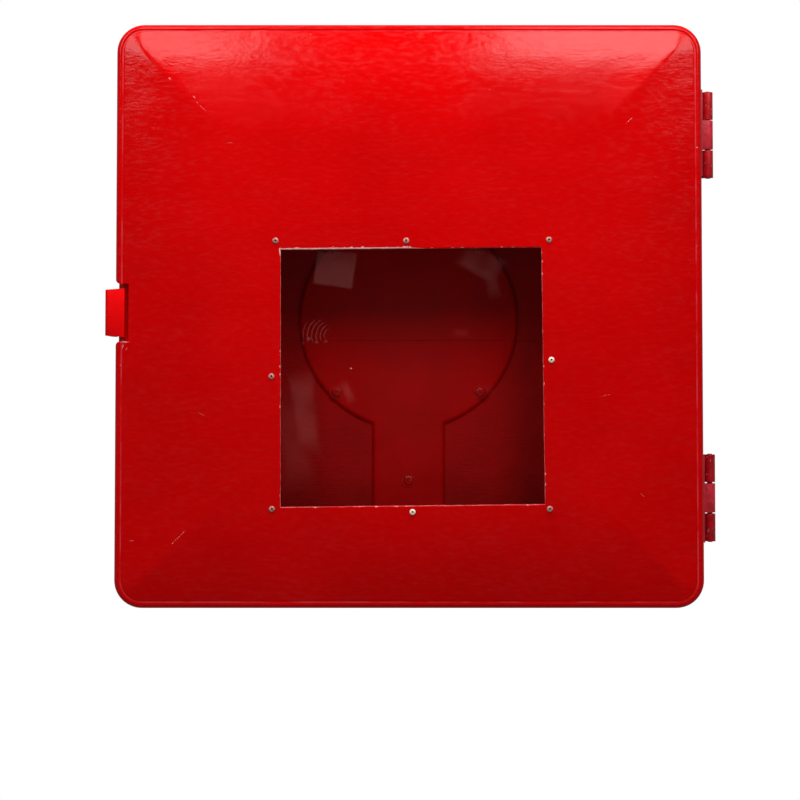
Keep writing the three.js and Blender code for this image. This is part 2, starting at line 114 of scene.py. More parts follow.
def make_piece(name, points, faces, sharp_angle=38):
    """A mesh object with merged points, outward faces and smooth shading except at sharp edges."""
    mesh = bpy.data.meshes.new(name)
    mesh.from_pydata([tuple(p) for p in points], [], faces)
    work = bmesh.new()
    work.from_mesh(mesh)
    bmesh.ops.remove_doubles(work, verts=work.verts, dist=1e-6)
    bmesh.ops.recalc_face_normals(work, faces=work.faces)
    work.to_mesh(mesh)
    work.free()
    smooth(mesh, sharp_angle)
    piece = bpy.data.objects.new(name, mesh)
    bpy.context.scene.collection.objects.link(piece)
    return piece


def smooth(mesh, sharp_angle=38):
    """Smooth shading, except across edges sharper than the angle in degrees."""
    mesh.shade_smooth()
    mesh.set_sharp_from_angle(angle=math.radians(sharp_angle))


def loft(name, rings, closed=False, sharp_angle=38):
    """Quads between rings of equal size. A closed loft joins its ends; an open one is capped."""
    size = len(rings[0])
    points = [point for ring in rings for point in ring]
    faces = []
    for row in range(len(rings) if closed else len(rings) - 1):
        here, there = row * size, (row + 1) % len(rings) * size
        for i in range(size):
            j = (i + 1) % size
            faces.append((here + i, here + j, there + j, there + i))
    if not closed:
        faces.append(tuple(range(size)))
        faces.append(tuple(range((len(rings) - 1) * size, len(rings) * size)))
    return make_piece(name, points, faces, sharp_angle)


def circle(radius, height, steps):
    """Points around local Z."""
    angles = [2 * math.pi * i / steps for i in range(steps)]
    return [Vector((radius * math.cos(a), radius * math.sin(a), height)) for a in angles]


def turned(name, profile, place, steps=40, sharp_angle=38):
    """A piece turned around local Z from (radius, height) pairs.

    A profile whose ends are off the axis closes on itself, as a washer's does.
    """
    ends_on_axis = profile[0][0] == 0
    rows = profile[1:-1] if ends_on_axis else profile
    rings = [[place @ point for point in circle(radius, height, steps)] for radius, height in rows]
    return loft(name, rings, closed=not ends_on_axis, sharp_angle=sharp_angle)


def prism(name, outline, direction, sharp_angle=38):
    """A flat outline pushed along a direction."""
    rings = [outline, [point + direction for point in outline]]
    return loft(name, rings, sharp_angle=sharp_angle)


def block(name, low, high):
    """A box between two opposite corners."""
    x0, y0, z0 = low
    x1, y1, z1 = high
    outline = [Vector((x0, y0, z0)), Vector((x1, y0, z0)), Vector((x1, y1, z0)), Vector((x0, y1, z0))]
    return prism(name, outline, Vector((0, 0, z1 - z0)))


def bar(name, radius, start, end, steps=48):
    """A round bar between two points."""
    turn = (end - start).to_track_quat("Z", "Y").to_matrix().to_4x4()
    place = Matrix.Translation(start) @ turn
    length = (end - start).length
    return turned(name, [(0, 0), (radius, 0), (radius, length), (0, length)], place, steps)


def tube(name, path, radius, sides=12):
    """A wire of the given radius along a list of points."""
    rings = []
    for i, point in enumerate(path):
        ahead = path[min(i + 1, len(path) - 1)] - path[max(i - 1, 0)]
        turn = ahead.to_track_quat("Z", "X").to_matrix()
        rings.append([point + turn @ offset for offset in circle(radius, 0, sides)])
    return loft(name, rings)


def bake_modifiers(piece):
    """Turns a piece's modifiers into its mesh."""
    evaluated = piece.evaluated_get(bpy.context.evaluated_depsgraph_get())
    mesh = bpy.data.meshes.new_from_object(evaluated)
    piece.modifiers.clear()
    piece.data = mesh


def combine(piece, others, operation):
    """Joins solids to a piece, or cuts them out of it, and removes them."""
    for other in others:
        modifier = piece.modifiers.new(operation, "BOOLEAN")
        modifier.operation = operation
        modifier.solver = "EXACT"
        modifier.object = other
        bake_modifiers(piece)
        bpy.data.objects.remove(other)
    smooth(piece.data)
    return piece


def round_edges(piece, width, segments=3, angle=40):
    """Bevels the edges that are sharper than the angle in degrees."""
    modifier = piece.modifiers.new("rounded edges", "BEVEL")
    modifier.width = width
    modifier.segments = segments
    modifier.limit_method = "ANGLE"
    modifier.angle_limit = math.radians(angle)
    modifier.harden_normals = False
    bake_modifiers(piece)
    smooth(piece.data)
    return piece


def hand_in(piece, body, slot, material, *replaced):
    """Gives a piece its material, hangs it on its body and hides the CAD nodes it replaces. The slot is not
    used.
    """
    piece.data.materials.clear()
    piece.data.materials.append(material)
    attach(piece, body)
    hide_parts(*replaced)
    return piece


def finish_node(name, material):
    """A CAD node that is shown as it is, with a better material."""
    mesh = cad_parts[name].data
    mesh.materials.clear()
    mesh.materials.append(material)


# ---------------------------------------------------------------- outlines

def rounded_columns(low, high, radius, left_side=None, side_steps=60, corner_steps=12):
    """Places around a rounded rectangle: each is the centre of its curve and its outward direction.

    left_side, where given, is the list of heights at which the left side has a place.
    """
    x_low, x_high = low.x + radius, high.x - radius
    z_low, z_high = low.z + radius, high.z - radius
    corners = [(x_high, z_high), (x_low, z_high), (x_low, z_low), (x_high, z_low)]
    columns = []
    for quarter, corner in enumerate(corners):
        following = corners[(quarter + 1) % 4]
        for step in range(corner_steps + 1):
            angle = math.radians(90 * (quarter + step / corner_steps))
            columns.append((Vector(corner), Vector((math.cos(angle), math.sin(angle)))))
        direction = columns[-1][1]
        if quarter == 1 and left_side:
            inner = [Vector((x_low, z)) for z in sorted(left_side, reverse=True)]
        else:
            steps = [i / side_steps for i in range(1, side_steps)]
            inner = [Vector(corner).lerp(Vector(following), t) for t in steps]
        columns.extend((centre, direction) for centre in inner)
    return columns


def ring_at(columns, radius, inset, out, scale=1.0):
    """The columns' points at an inset from the outline."""
    flat = [(centre + direction * (radius - inset)) * scale for centre, direction in columns]
    return [Vector((p.x, -out, p.y)) for p in flat]


# ---------------------------------------------------------------- door

def soft_min(a, b, softness):
    """The smaller of two values, blended where they are nearly equal."""
    blend = min(1.0, max(0.0, 0.5 + 0.5 * (b - a) / softness))
    return b * (1 - blend) + a * blend - softness * blend * (1 - blend)


def outline_distance(x, z):
    """Distance from a point of the door's face to the door's rounded outline."""
    from_side = door_high.x - abs(x)
    from_end = door_high.z - abs(z)
    if from_side < DOOR_CORNER and from_end < DOOR_CORNER:
        return DOOR_CORNER - math.hypot(DOOR_CORNER - from_side, DOOR_CORNER - from_end)
    return soft_min(from_side, from_end, 5 * MM)


def face_out(x, z):
    """Height of the door's face above the wall: four curved facets that run into a plateau."""
    inset = outline_distance(x, z)
    run = min(1.0, max(0.0, (inset - CROWN_INSET) / CROWN_RUN))
    groove = GROOVE_DEPTH * math.exp(-(((inset - GROOVE_INSET) / GROOVE_SPREAD) ** 2))
    return RIM + CROWN_RISE * (1 - (1 - run) ** 2) - groove


def step_between(value, low, high):
    """A smooth step from 0 at low to 1 at high."""
    t = min(1.0, max(0.0, (value - low) / (high - low)))
    return t * t * (3 - 2 * t)


def pocket_weight(z, margin):
    """1 inside the latch pocket's height, 0 outside it, with steep drafted ends."""
    draft = 0.35 * MM
    low, high = POCKET_LOW - margin, POCKET_HIGH + margin
    rise = step_between(z, low - draft, low + draft)
    return rise * (1 - step_between(z, high - draft, high + draft))


def mouth_inset(z):
    """How far the rounded mouth of the pocket has cut into the door's edge at height z."""
    reach = min(z - (POCKET_LOW - MOUTH_RADIUS), (POCKET_HIGH + MOUTH_RADIUS) - z)
    if reach <= 0:
        return 0.0
    reach = min(reach, MOUTH_RADIUS)
    return MOUTH_RADIUS - math.sqrt(MOUTH_RADIUS**2 - reach**2)


def outer_profile():
    """(inset, out) pairs up the door's skirt, over its rolled rim and through the groove."""
    skirt = [(0.6, DOOR_REAR / MM), (0, DOOR_REAR / MM + 0.6), (0, 195), (0, 206), (0, 213), (0, 216.4)]
    profile = [(inset * MM, out * MM) for inset, out in skirt]
    for angle in (15, 30, 45, 60, 75, 90):
        a = math.radians(angle)
        profile.append((EDGE_RADIUS * (1 - math.cos(a)), RIM - EDGE_RADIUS * (1 - math.sin(a))))
    profile += [(inset * MM, None) for inset in (6.1, 6.9, 7.6, 8.4, 9.4, 11, 13, 16)]
    return profile


def outer_pocket_profile():
    """The same rows where the latch pocket is: up the side channel, over the floor, up its wall."""
    channel, wall, floor = CHANNEL_INSET, POCKET_INSET, POCKET_FLOOR
    rows = [(channel + 0.6 * MM, DOOR_REAR), (channel, DOOR_REAR + 0.6 * MM)]
    rows += [(channel, 195 * MM), (channel, 206 * MM), (channel, floor - 1.2 * MM)]
    rows += [(channel + 0.1 * MM, floor - 0.4 * MM), (channel + 0.5 * MM, floor)]
    rows += [(channel + (wall - channel) * t, floor) for t in (0.15, 0.35, 0.55, 0.75, 0.9)]
    rows += [(wall - 0.5 * MM, floor + 0.1 * MM), (wall - 0.1 * MM, floor + 0.5 * MM)]
    rows += [(wall, floor + rise * MM) for rise in (2, 4.5, 7, 9.5, 11.6)]
    rows += [(wall, None)]
    return rows


def inner_profile():
    """(inset, out) pairs up the inside of the door's skirt and over the inside of its rim."""
    rows = [(4.1, 183.6), (4.5, 184.2), (4.5, 195), (4.5, 206), (4.5, 213), (5.6, 216.4), (7.6, 217.5)]
    return [(i * MM, o * MM) for i, o in rows] + [(i * MM, None) for i in (10, 13, 16, 20.5)]


def inner_pocket_profile():
    """The same inner rows behind the latch pocket."""
    floor = (POCKET_FLOOR - LAMINATE) / MM
    rows = [(8.6, 183.6), (9, 184.2), (9, 195), (9, 203), (9, floor), (12, floor), (16, floor)]
    rows += [(20.5, floor), (20.5, floor + 4), (20.5, floor + 9)]
    return [(i * MM, o * MM) for i, o in rows] + [(20.5 * MM, None)]


def skin_rings(columns, normal, pocket, margin, depth_below):
    """Rings of one skin of the door near its edge, dipping into the latch pocket on the left side."""
    rings = []
    for (inset, out), (pocket_inset, pocket_out) in zip(normal, pocket):
        ring = []
        for centre, direction in columns:
            on_left = direction.x < -0.999 and abs(centre.y) < 0.3
            weight = pocket_weight(centre.y, margin) if on_left else 0.0
            cut = mouth_inset(centre.y) if on_left and margin == 0 else 0.0
            plain = centre + direction * (DOOR_CORNER - max(inset, cut))
            plain_out = face_out(plain.x, plain.y) - depth_below if out is None else out
            dipped = centre + direction * (DOOR_CORNER - pocket_inset)
            dipped_out = pocket_out
            if pocket_out is None:
                dipped_out = face_out(dipped.x, dipped.y) - depth_below
            flat = plain.lerp(dipped, weight)
            ring.append(Vector((flat.x, -(plain_out * (1 - weight) + dipped_out * weight), flat.y)))
        rings.append(ring)
    return rings


def window_targets(columns):
    """For each column, its point on the window's cut edge and the direction away from the window."""
    points = [centre + direction * DOOR_CORNER for centre, direction in columns]
    count = len(columns)
    quarter_starts = []
    for quarter in range(4):
        angle = math.radians(45 + 90 * quarter)
        facing = Vector((math.cos(angle), math.sin(angle)))
        quarter_starts.append(max(range(count), key=lambda i: columns[i][1].dot(facing)))
    targets = [None] * count
    for quarter in range(4):
        first, last = quarter_starts[quarter], quarter_starts[(quarter + 1) % 4]
        run = [(first + k) % count for k in range((last - first) % count + 1)]
        lengths = [0.0]
        for a, b in zip(run, run[1:]):
            lengths.append(lengths[-1] + (points[b] - points[a]).length)
        start, end = WINDOW_CORNERS[quarter], WINDOW_CORNERS[(quarter + 1) % 4]
        along = (end - start).normalized()
        away = Vector((along.y, -along.x))
        for i, length in zip(run[:-1], lengths):
            share = length / lengths[-1]
            point = start.lerp(end, share)
            saw = noise.noise(Vector((point.x, 0, point.y)) / (14 * MM)) * math.sin(math.pi * share)
            diagonal = Vector((math.copysign(1, start.x), math.copysign(1, start.y)))
            outward = away if share > 0 else diagonal
            targets[i] = (point + away * saw * WINDOW_SAW_WOBBLE, outward)
    return targets


def left_side_heights():
    """Heights of the mesh's rows up the door's left side, closer at the ends of the latch pocket."""
    draft_steps = (-0.34, -0.2, -0.08, 0.08, 0.2, 0.34)
    mouth_shares = (1.02, 0.97, 0.87, 0.75, 0.57, 0.38, 0.22)
    mouth_steps = tuple(-MOUTH_RADIUS / MM * share for share in mouth_shares)
    spacing, count = 7.8 * MM, 79
    heights = [-305 * MM + spacing * i for i in range(count)]
    heights = [z for z in heights if not POCKET_LOW - 8 * MM < z < POCKET_LOW + 3 * MM]
    heights = [z for z in heights if not POCKET_HIGH - 3 * MM < z < POCKET_HIGH + 8 * MM]
    for side, edge in ((1, POCKET_LOW), (-1, POCKET_HIGH)):
        heights += [edge + side * step * MM for step in draft_steps + mouth_steps + (1.2, -7.5)]
        heights += [edge - side * LAMINATE + side * step * MM for step in draft_steps]
    return heights


def door_shell():
    """One closed sheet: out over the door's face to the window, through its cut edge and back."""
    columns = rounded_columns(
        door_low, door_high, DOOR_CORNER, left_side=left_side_heights(), side_steps=76)
    targets = window_targets(columns)

    outer = skin_rings(columns, outer_profile(), outer_pocket_profile(), 0, 0)
    inner = skin_rings(columns, inner_profile(), inner_pocket_profile(), LAMINATE, LAMINATE)

    def face_rings(edge_ring, steps, depth_below, last_offset):
        """Rings from the edge to the window, at a depth below the face."""
        rings = []
        for step in range(1, steps + 1):
            ring = []
            for start, (target, away) in zip(edge_ring, targets):
                flat = Vector((start.x, start.z)).lerp(target + away * last_offset, step / steps)
                ring.append(Vector((flat.x, -(face_out(flat.x, flat.y) - depth_below), flat.y)))
            rings.append(ring)
        return rings

    def cut_ring(offset, depth):
        """A ring of the window's cut edge, with chips."""
        ring = []
        for target, away in targets:
            chip = 1 + 0.7 * noise.noise(Vector((target.x, 1, target.y)) / (5 * MM))
            flat = target + away * offset * chip
            ring.append(Vector((flat.x, -(face_out(flat.x, flat.y) - depth * chip), flat.y)))
        return ring

    rings = outer + face_rings(outer[-1], 46, 0, 3 * MM)
    rings += [cut_ring(1.5 * MM, 0), cut_ring(0.7 * MM, 0.03 * MM), cut_ring(0.25 * MM, 0.3 * MM)]
    rings += [cut_ring(0, 0.7 * MM), cut_ring(0, 2 * MM), cut_ring(0, 2.5 * MM)]
    rings += list(reversed(inner + face_rings(inner[-1], 20, LAMINATE, 0)))
    return loft("door_shell_finished", rings, closed=True)


# ---------------------------------------------------------------- body

def body_shell():
    """The tray behind the door: flat back, tapered walls, flange, and an upstand round the mouth."""
    columns = rounded_columns(body_low, body_high, BODY_CORNER, side_steps=28)

    def ring(inset, out):
        taper = 1 - (1 - TAPER_SCALE) * max(0.0, 1 - out * MM / TAPER_FROM)
        return ring_at(columns, BODY_CORNER, inset * MM, out * MM, taper)

    front, floor, skin = BODY_DEPTH / MM, BODY_BACK_WALL / MM, LAMINATE / MM
    outer, top = UPSTAND_INSET / MM, UPSTAND_TOP / MM
    inner, middle, under = outer + skin, outer + 2.2, front - skin
    back = [(30, 0), (5, 0), (2.6, 0.4), (0.9, 1.6), (0, 4)]
    walls = [(0, 40), (0, 80), (0, TAPER_FROM / MM), (0, 150), (0, front - 2), (0.6, front - 0.6)]
    flange = [(2, front), (6, front), (outer - 3, front), (outer - 0.9, front + 0.9), (outer, front + 3)]
    lip = [(outer, 190), (outer, top - 1.8), (outer + 0.7, top - 0.4), (middle, top)]
    lip += [(inner - 0.8, top - 0.4), (inner, top - 1.8), (inner, 190), (inner, under + 2)]
    shoulder = [(inner - 0.6, under + 0.5), (inner - 2, under), (8.5, under), (5.6, under - 0.9)]
    inside = [(skin, under - 3.5), (skin, 150), (skin, 110), (skin, 60), (skin, 17)]
    inside += [(5.6, 10.5), (8.8, 6.6), (14, 5.1), (20, floor), (30, floor)]
    profile = back + walls + flange + lip + shoulder + inside
    shell = loft("body_shell_finished", [ring(inset, out) for inset, out in profile])

    cutters = []
    for x in (-WALL_HOLE["x"], WALL_HOLE["x"]):
        for z in (-WALL_HOLE["z"], WALL_HOLE["z"]):
            start, end = Vector((x, CUT_MARGIN, z)), Vector((x, -BODY_BACK_WALL - CUT_MARGIN, z))
            cutters.append(bar("cutter", WALL_HOLE["radius"], start, end))
    for x in (-DRAIN_HOLE["x"], DRAIN_HOLE["x"]):
        bottom = Vector((x, -DRAIN_HOLE["out"], body_low.z))
        start, end = bottom - Vector((0, 0, CUT_MARGIN)), bottom + Vector((0, 0, 2 * CUT_MARGIN))
        cutters.append(bar("cutter", DRAIN_HOLE["radius"], start, end))
    return combine(shell, cutters, "DIFFERENCE")


def door_gasket():
    """A rubber strip round the flange, a little back from its outer edge."""
    columns = rounded_columns(gasket_low, gasket_high, DOOR_CORNER, side_steps=16)
    back, front = -gasket_high.y / MM, -gasket_low.y / MM
    outer, inner, soft = 2.5, 9.5, 0.7
    profile = [(outer + soft, back), (outer, back + soft), (outer, front - soft), (outer + soft, front)]
    profile += [(inner + outer - inset, out) for inset, out in reversed(profile)]
    rings = [ring_at(columns, DOOR_CORNER, inset * MM, out * MM) for inset, out in profile]
    return loft("door_gasket_finished", rings, closed=True)


def back_pad():
    """Keyhole-shaped load pad: a disc with a stem running down from it, its upper edge rounded."""
    disc_radius, stem_end = pad_high.x, -pad_low.z
    back, front = -pad_high.y, -pad_low.y

    def keyhole(grow, out):
        radius, half = disc_radius + grow, PAD_STEM_HALF + grow
        reach = math.asin(half / radius)
        first, last = -math.pi / 2 + reach, 1.5 * math.pi - reach
        steps = 160
        angles = [first + (last - first) * i / steps for i in range(steps + 1)]
        flat = [(radius * math.cos(a), radius * math.sin(a)) for a in angles]
        flat += [(-half, -stem_end - grow), (half, -stem_end - grow)]
        return [Vector((x, -out, z)) for x, z in flat]

    rounded = [(-1.5, 3.2), (-2.6, 1.6), (-4, 0.5), (-6, 0)]
    edge = [(0, back)] + [(grow * MM, front - drop * MM) for grow, drop in rounded]
    return loft("back_pad_finished", [keyhole(grow, out) for grow, out in edge])


# ---------------------------------------------------------------- fasteners

OUTWARD = Matrix.Rotation(math.radians(90), 4, "X")
TO_RIGHT = Matrix.Rotation(math.radians(90), 4, "Y")
TO_LEFT = Matrix.Rotation(math.radians(-90), 4, "Y")


def cross_recess(piece, place, top, reach, depth, turn=0.0):
    """Cuts a cross-shaped driver recess into a screw whose head points along the place's local Z."""
    place = place @ Matrix.Rotation(turn, 4, "Z")
    cutters = []
    for across, along in ((reach, reach * 0.22), (reach * 0.22, reach)):
        corners = [(across, along), (-across, along), (-across, -along), (across, -along)]
        lower = [place @ Vector((x * 0.55, y * 0.55, top - depth)) for x, y in corners]
        upper = [place @ Vector((x, y, top + 0.5 * MM)) for x, y in corners]
        cutters.append(loft("cutter", [lower, upper]))
    return combine(piece, cutters, "DIFFERENCE")


def middle_of(node_name):
    """The middle of a CAD node's box."""
    low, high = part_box(node_name)
    return (low + high) / 2


def window_rivet(place_name):
    """A blind rivet: a domed flange around the broken end of its mandrel, and a bulb behind."""
    low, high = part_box(f"window_rivet_{place_name}")
    centre = (low + high) / 2
    head, top, tail = (high.x - low.x) / 2 / MM, -low.y / MM, -high.y / MM
    under, shank, bulb = top - 1.2, 1.6, 2.7
    hole = head * 0.32
    mandrel = [(0, top - 1.5), (hole * 0.7, top - 1.5), (hole * 0.85, top - 1.7), (hole, top - 1.3)]
    dome = [(hole + 0.05, top - 0.2), (head * 0.42, top), (head * 0.57, top - 0.08)]
    dome += [(head * 0.75, top - 0.34), (head * 0.9, top - 0.68), (head, under + 0.16), (head, under)]
    back = [(shank, under), (shank, tail + 2.8), (bulb, tail + 2.3), (bulb, tail + 1.2)]
    back += [(bulb * 0.8, tail + 0.4), (bulb * 0.5, tail), (0, tail)]
    profile = mandrel + dome + back
    place = Matrix.Translation((centre.x, 0, centre.z)) @ OUTWARD
    rivet = turned(f"window_rivet_{place_name}_finished", [(r * MM, h * MM) for r, h in profile], place)

    def is_mandrel(face_centre, normal):
        from_axis = math.hypot(face_centre.x - centre.x, face_centre.z - centre.z)
        return from_axis < (hole + 0.04) * MM and -face_centre.y > (top - 2) * MM

    return rivet, is_mandrel


def pad_fixing(place_name):
    """A pan-head screw with a cross recess, over a plain washer."""
    low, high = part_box(f"pad_screw_{place_name}")
    centre = (low + high) / 2
    place = Matrix.Translation((centre.x, 0, centre.z)) @ OUTWARD
    head, end = (high.x - low.x) / 2, -high.y
    top, height = -low.y - 1.6 * MM, 2.9 * MM
    shank = head / 2
    dome = [(0, 0), (0.3, 0), (0.55, 0.06), (0.78, 0.2), (0.92, 0.42), (1, 0.75), (1, 1)]
    profile = [(head * r, top - height * drop) for r, drop in dome]
    profile += [(shank, top - height), (shank, end + 1 * MM), (shank * 0.7, end), (0, end)]
    screw = turned(f"pad_screw_{place_name}_finished", profile, place)
    turn = math.radians(37 * len(place_name))
    cross_recess(screw, place, top, head * 0.5, 1.8 * MM, turn)

    low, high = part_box(f"pad_washer_{place_name}")
    outer, inner, back, front = (high.x - low.x) / 2, shank + 0.3 * MM, -high.y, -low.y
    soft = 0.3 * MM
    profile = [
        (outer, back + soft), (outer, front - soft), (outer - soft, front), (inner + soft, front),
        (inner, front - soft), (inner, back + soft), (inner + soft, back), (outer - soft, back),
    ]
    washer = turned(f"pad_washer_{place_name}_finished", profile, place)
    return screw, washer


# ---------------------------------------------------------------- hinges

HINGE_SHEET = 2.5 * MM
HINGE_PLATE = 3 * MM
HINGE_BORE = 3.5 * MM
KNUCKLE_HALF = 17.4 * MM
KNUCKLE_GAP = 1.6 * MM


def hinge_leaf(level, side):
    """One leaf of a butt hinge with its knuckles: the middle one on the door, two on the body."""
    low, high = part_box(f"{level}_hinge_{side}_leaf")
    axis = middle_of(f"{level}_hinge_pin")
    axis_out = -axis.y
    barrel = high.x - axis.x
    face = low.x

    def slab(x_high, out_low, out_high, z_low, z_high):
        return block("part", (face, -out_high, z_low), (x_high, -out_low, z_high))

    if side == "door":
        spans = [(axis.z - KNUCKLE_HALF, axis.z + KNUCKLE_HALF)]
        plate_out = (axis_out + barrel - HINGE_PLATE, -low.y)
        tab_out = (axis_out + barrel - HINGE_PLATE, axis_out + barrel)
    else:
        inner = KNUCKLE_HALF + KNUCKLE_GAP
        spans = [(low.z, axis.z - inner), (axis.z + inner, high.z)]
        plate_out = (-high.y, axis_out - barrel + HINGE_PLATE)
        tab_out = (axis_out - barrel, axis_out - barrel + HINGE_PLATE)

    leaf = slab(face + HINGE_SHEET, *plate_out, low.z, high.z)
    leaf.name = f"{level}_hinge_{side}_leaf_finished"
    parts = []
    for z_low, z_high in spans:
        parts.append(slab(axis.x, *tab_out, z_low, z_high))
        start, end = Vector((axis.x, axis.y, z_low)), Vector((axis.x, axis.y, z_high))
        parts.append(bar("part", barrel, start, end))
    combine(leaf, parts, "UNION")
    start, end = Vector((axis.x, axis.y, low.z - CUT_MARGIN)), Vector((axis.x, axis.y, high.z + CUT_MARGIN))
    combine(leaf, [bar("cutter", HINGE_BORE, start, end)], "DIFFERENCE")
    return round_edges(leaf, 0.6 * MM)


def leaf_screw(name, seed):
    """A countersunk screw pointing into the cabinet, with a cross recess."""
    low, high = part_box(name)
    place = Matrix.Translation((0, (low.y + high.y) / 2, (low.z + high.z) / 2)) @ TO_RIGHT
    head, shank, top, end = (high.z - low.z) / 2, 2 * MM, high.x, low.x
    profile = [
        (0, top), (head - 0.3 * MM, top), (head, top - 0.2 * MM), (shank, top - head + shank),
        (shank, end + 1.5 * MM), (0, end),
    ]
    screw = turned(f"{name}_finished", profile, place, steps=32)
    return cross_recess(screw, place, top, head * 0.62, 1.4 * MM, math.radians(41 * seed))


def hinge_pin(level):
    """A plain pin with rounded ends."""
    low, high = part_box(f"{level}_hinge_pin")
    place = Matrix.Translation(((low.x + high.x) / 2, (low.y + high.y) / 2, 0))
    radius, soft = (high.x - low.x) / 2, 0.9 * MM
    profile = [
        (0, high.z), (radius - soft, high.z), (radius - 0.3 * soft, high.z - 0.3 * soft),
        (radius, high.z - soft), (radius, low.z + soft), (radius - 0.3 * soft, low.z + 0.3 * soft),
        (radius - soft, low.z), (0, low.z),
    ]
    return turned(f"{level}_hinge_pin_finished", profile, place)


# ---------------------------------------------------------------- latch

LATCH_AXIS = middle_of("latch_pin")
LATCH_AXIS.z = POCKET_MIDDLE
EYE_RADIUS = 5.2 * MM
LATCH_BORE = 2.3 * MM
CLIP_NECK = 15 * MM
SPRING_HALF = (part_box("latch_spring")[1].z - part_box("latch_spring")[0].z) / 2


def on_latch(x, out, z=0.0):
    """A point given in millimetres from the latch's axis, x to the right and out of the wall."""
    return LATCH_AXIS + Vector((x * MM, -out * MM, z * MM))


def latch_bar(radius, z_low, z_high):
    """A round bar on the latch's axis, in metres from the pocket's middle."""
    return bar("part", radius, on_latch(0, 0, z_low / MM), on_latch(0, 0, z_high / MM))


def latch_block(x_low, x_high, out_low, out_high, z_low, z_high):
    """A box given in millimetres from the latch's axis."""
    low, high = on_latch(x_low, out_high, z_low), on_latch(x_high, out_low, z_high)
    return block("part", low, high)


def latch_clip():
    """An L-shaped clip: an eye around the pin, a leg, and a lip that hooks into the door's pocket."""
    top = (-CLIP_LOW.y + LATCH_AXIS.y) / MM
    tip = (CLIP_HIGH.x - LATCH_AXIS.x) / MM
    half = (CLIP_HIGH.z - CLIP_LOW.z) / 2 / MM
    outer, inner, under = -2.6, 4.6, 61.5
    side_view = [
        (outer, 0), (inner, 0), (inner, under - 2), (inner + 0.6, under - 0.6), (inner + 2, under),
        (tip - 0.8, under), (tip, under + 0.8), (tip, top - 2), (tip - 0.6, top - 0.6), (tip - 2, top),
        (outer + 4.5, top), (outer + 2.2, top - 0.6), (outer + 0.6, top - 2.2), (outer, top - 4.5),
    ]
    valley = outer + 0.8
    for grip in (46, 38, 30):
        side_view += [(outer, grip), (valley, grip - 1), (valley, grip - 3), (outer, grip - 4)]
    outline = [on_latch(x, out, -half) for x, out in side_view]
    clip = prism("latch_clip_finished", outline, Vector((0, 0, 2 * half * MM)))

    narrow = half - 2
    trapezium = [(outer - 4, -narrow), (tip, -half), (tip, half), (outer - 4, narrow)]
    front = [on_latch(x, -10, z) for x, z in trapezium]
    combine(clip, [prism("part", front, Vector((0, -0.1, 0)))], "INTERSECT")

    neck, spring = CLIP_NECK / MM, SPRING_HALF / MM + 0.3
    beside_neck = [(-half - 1, -neck), (neck, half + 1)]
    combine(clip, [latch_block(-20, 20, -1, 12, *span) for span in beside_neck], "DIFFERENCE")
    combine(clip, [latch_bar(EYE_RADIUS, -CLIP_NECK, CLIP_NECK)], "UNION")
    combine(clip, [latch_block(-8, 8, -8, 10, -spring, spring), latch_bar(LATCH_BORE, -0.03, 0.03)],
            "DIFFERENCE")
    return round_edges(clip, 0.9 * MM, angle=50)


def latch_base():
    """A plate on the body's side with two lugs that hold the pin."""
    low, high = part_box("latch_base")
    plate, half_plate = 2.5, 26
    face = (high.x - LATCH_AXIS.x) / MM
    top = face - plate
    out_low, out_high = (-high.y + LATCH_AXIS.y) / MM, 6
    lug_low, lug_high = CLIP_NECK / MM + 0.4, CLIP_NECK / MM + 10
    eye = EYE_RADIUS / MM
    base = latch_block(top, face, out_low, out_high, -half_plate, half_plate)
    base.name = "latch_base_finished"
    parts = []
    for z_low, z_high in ((-lug_high, -lug_low), (lug_low, lug_high)):
        parts.append(latch_block(0, top + 1, -eye, eye, z_low, z_high))
        parts.append(latch_bar(EYE_RADIUS, z_low * MM, z_high * MM))
    combine(base, parts, "UNION")
    combine(base, [latch_bar(LATCH_BORE, -0.04, 0.04)], "DIFFERENCE")
    return round_edges(base, 0.6 * MM, angle=50)


def latch_pin():
    """A pin with a low domed head at its upper end."""
    low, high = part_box("latch_pin")
    place = Matrix.Translation((LATCH_AXIS.x, LATCH_AXIS.y, 0))
    shank, head = 2 * MM, (high.x - low.x) / 2
    seat = high.z - 1.4 * MM
    profile = [
        (0, high.z), (head * 0.5, high.z - 0.1 * MM), (head * 0.85, high.z - 0.5 * MM),
        (head, seat + 0.3 * MM), (head, seat), (shank, seat), (shank, low.z + 0.4 * MM),
        (shank - 0.4 * MM, low.z), (0, low.z),
    ]
    return turned("latch_pin_finished", profile, place)


def latch_spring():
    """The turns of a torsion spring around the pin."""
    low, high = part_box("latch_spring")
    wire = 0.45 * MM
    radius = (high.x - low.x) / 2 - wire
    turns, steps = 7, 24
    reach = (high.z - low.z) / 2 - wire
    path = []
    for i in range(turns * steps + 1):
        angle = 2 * math.pi * i / steps
        height = -reach + 2 * reach * i / (turns * steps)
        offset = Vector((radius * math.cos(angle), radius * math.sin(angle), height))
        path.append(LATCH_AXIS + offset)
    return tube("latch_spring_finished", path, wire)


def latch_screw(name, seed):
    """A pan-head screw pointing into the cabinet's left side."""
    low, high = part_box(name)
    place = Matrix.Translation((0, (low.y + high.y) / 2, (low.z + high.z) / 2)) @ TO_LEFT
    head, shank = (high.z - low.z) / 2, 2 * MM
    top, end = -low.x, -high.x
    height = 2.2 * MM
    dome = [(0, 0), (0.4, 0.02), (0.7, 0.14), (0.92, 0.45), (1, 0.8), (1, 1)]
    profile = [(head * r, top - height * drop) for r, drop in dome]
    profile += [(shank, top - height), (shank, end + 1 * MM), (0, end)]
    screw = turned(f"{name}_finished", profile, place, steps=32)
    return cross_recess(screw, place, top, head * 0.6, 1.3 * MM, math.radians(33 * seed))


# ---------------------------------------------------------------- material tools

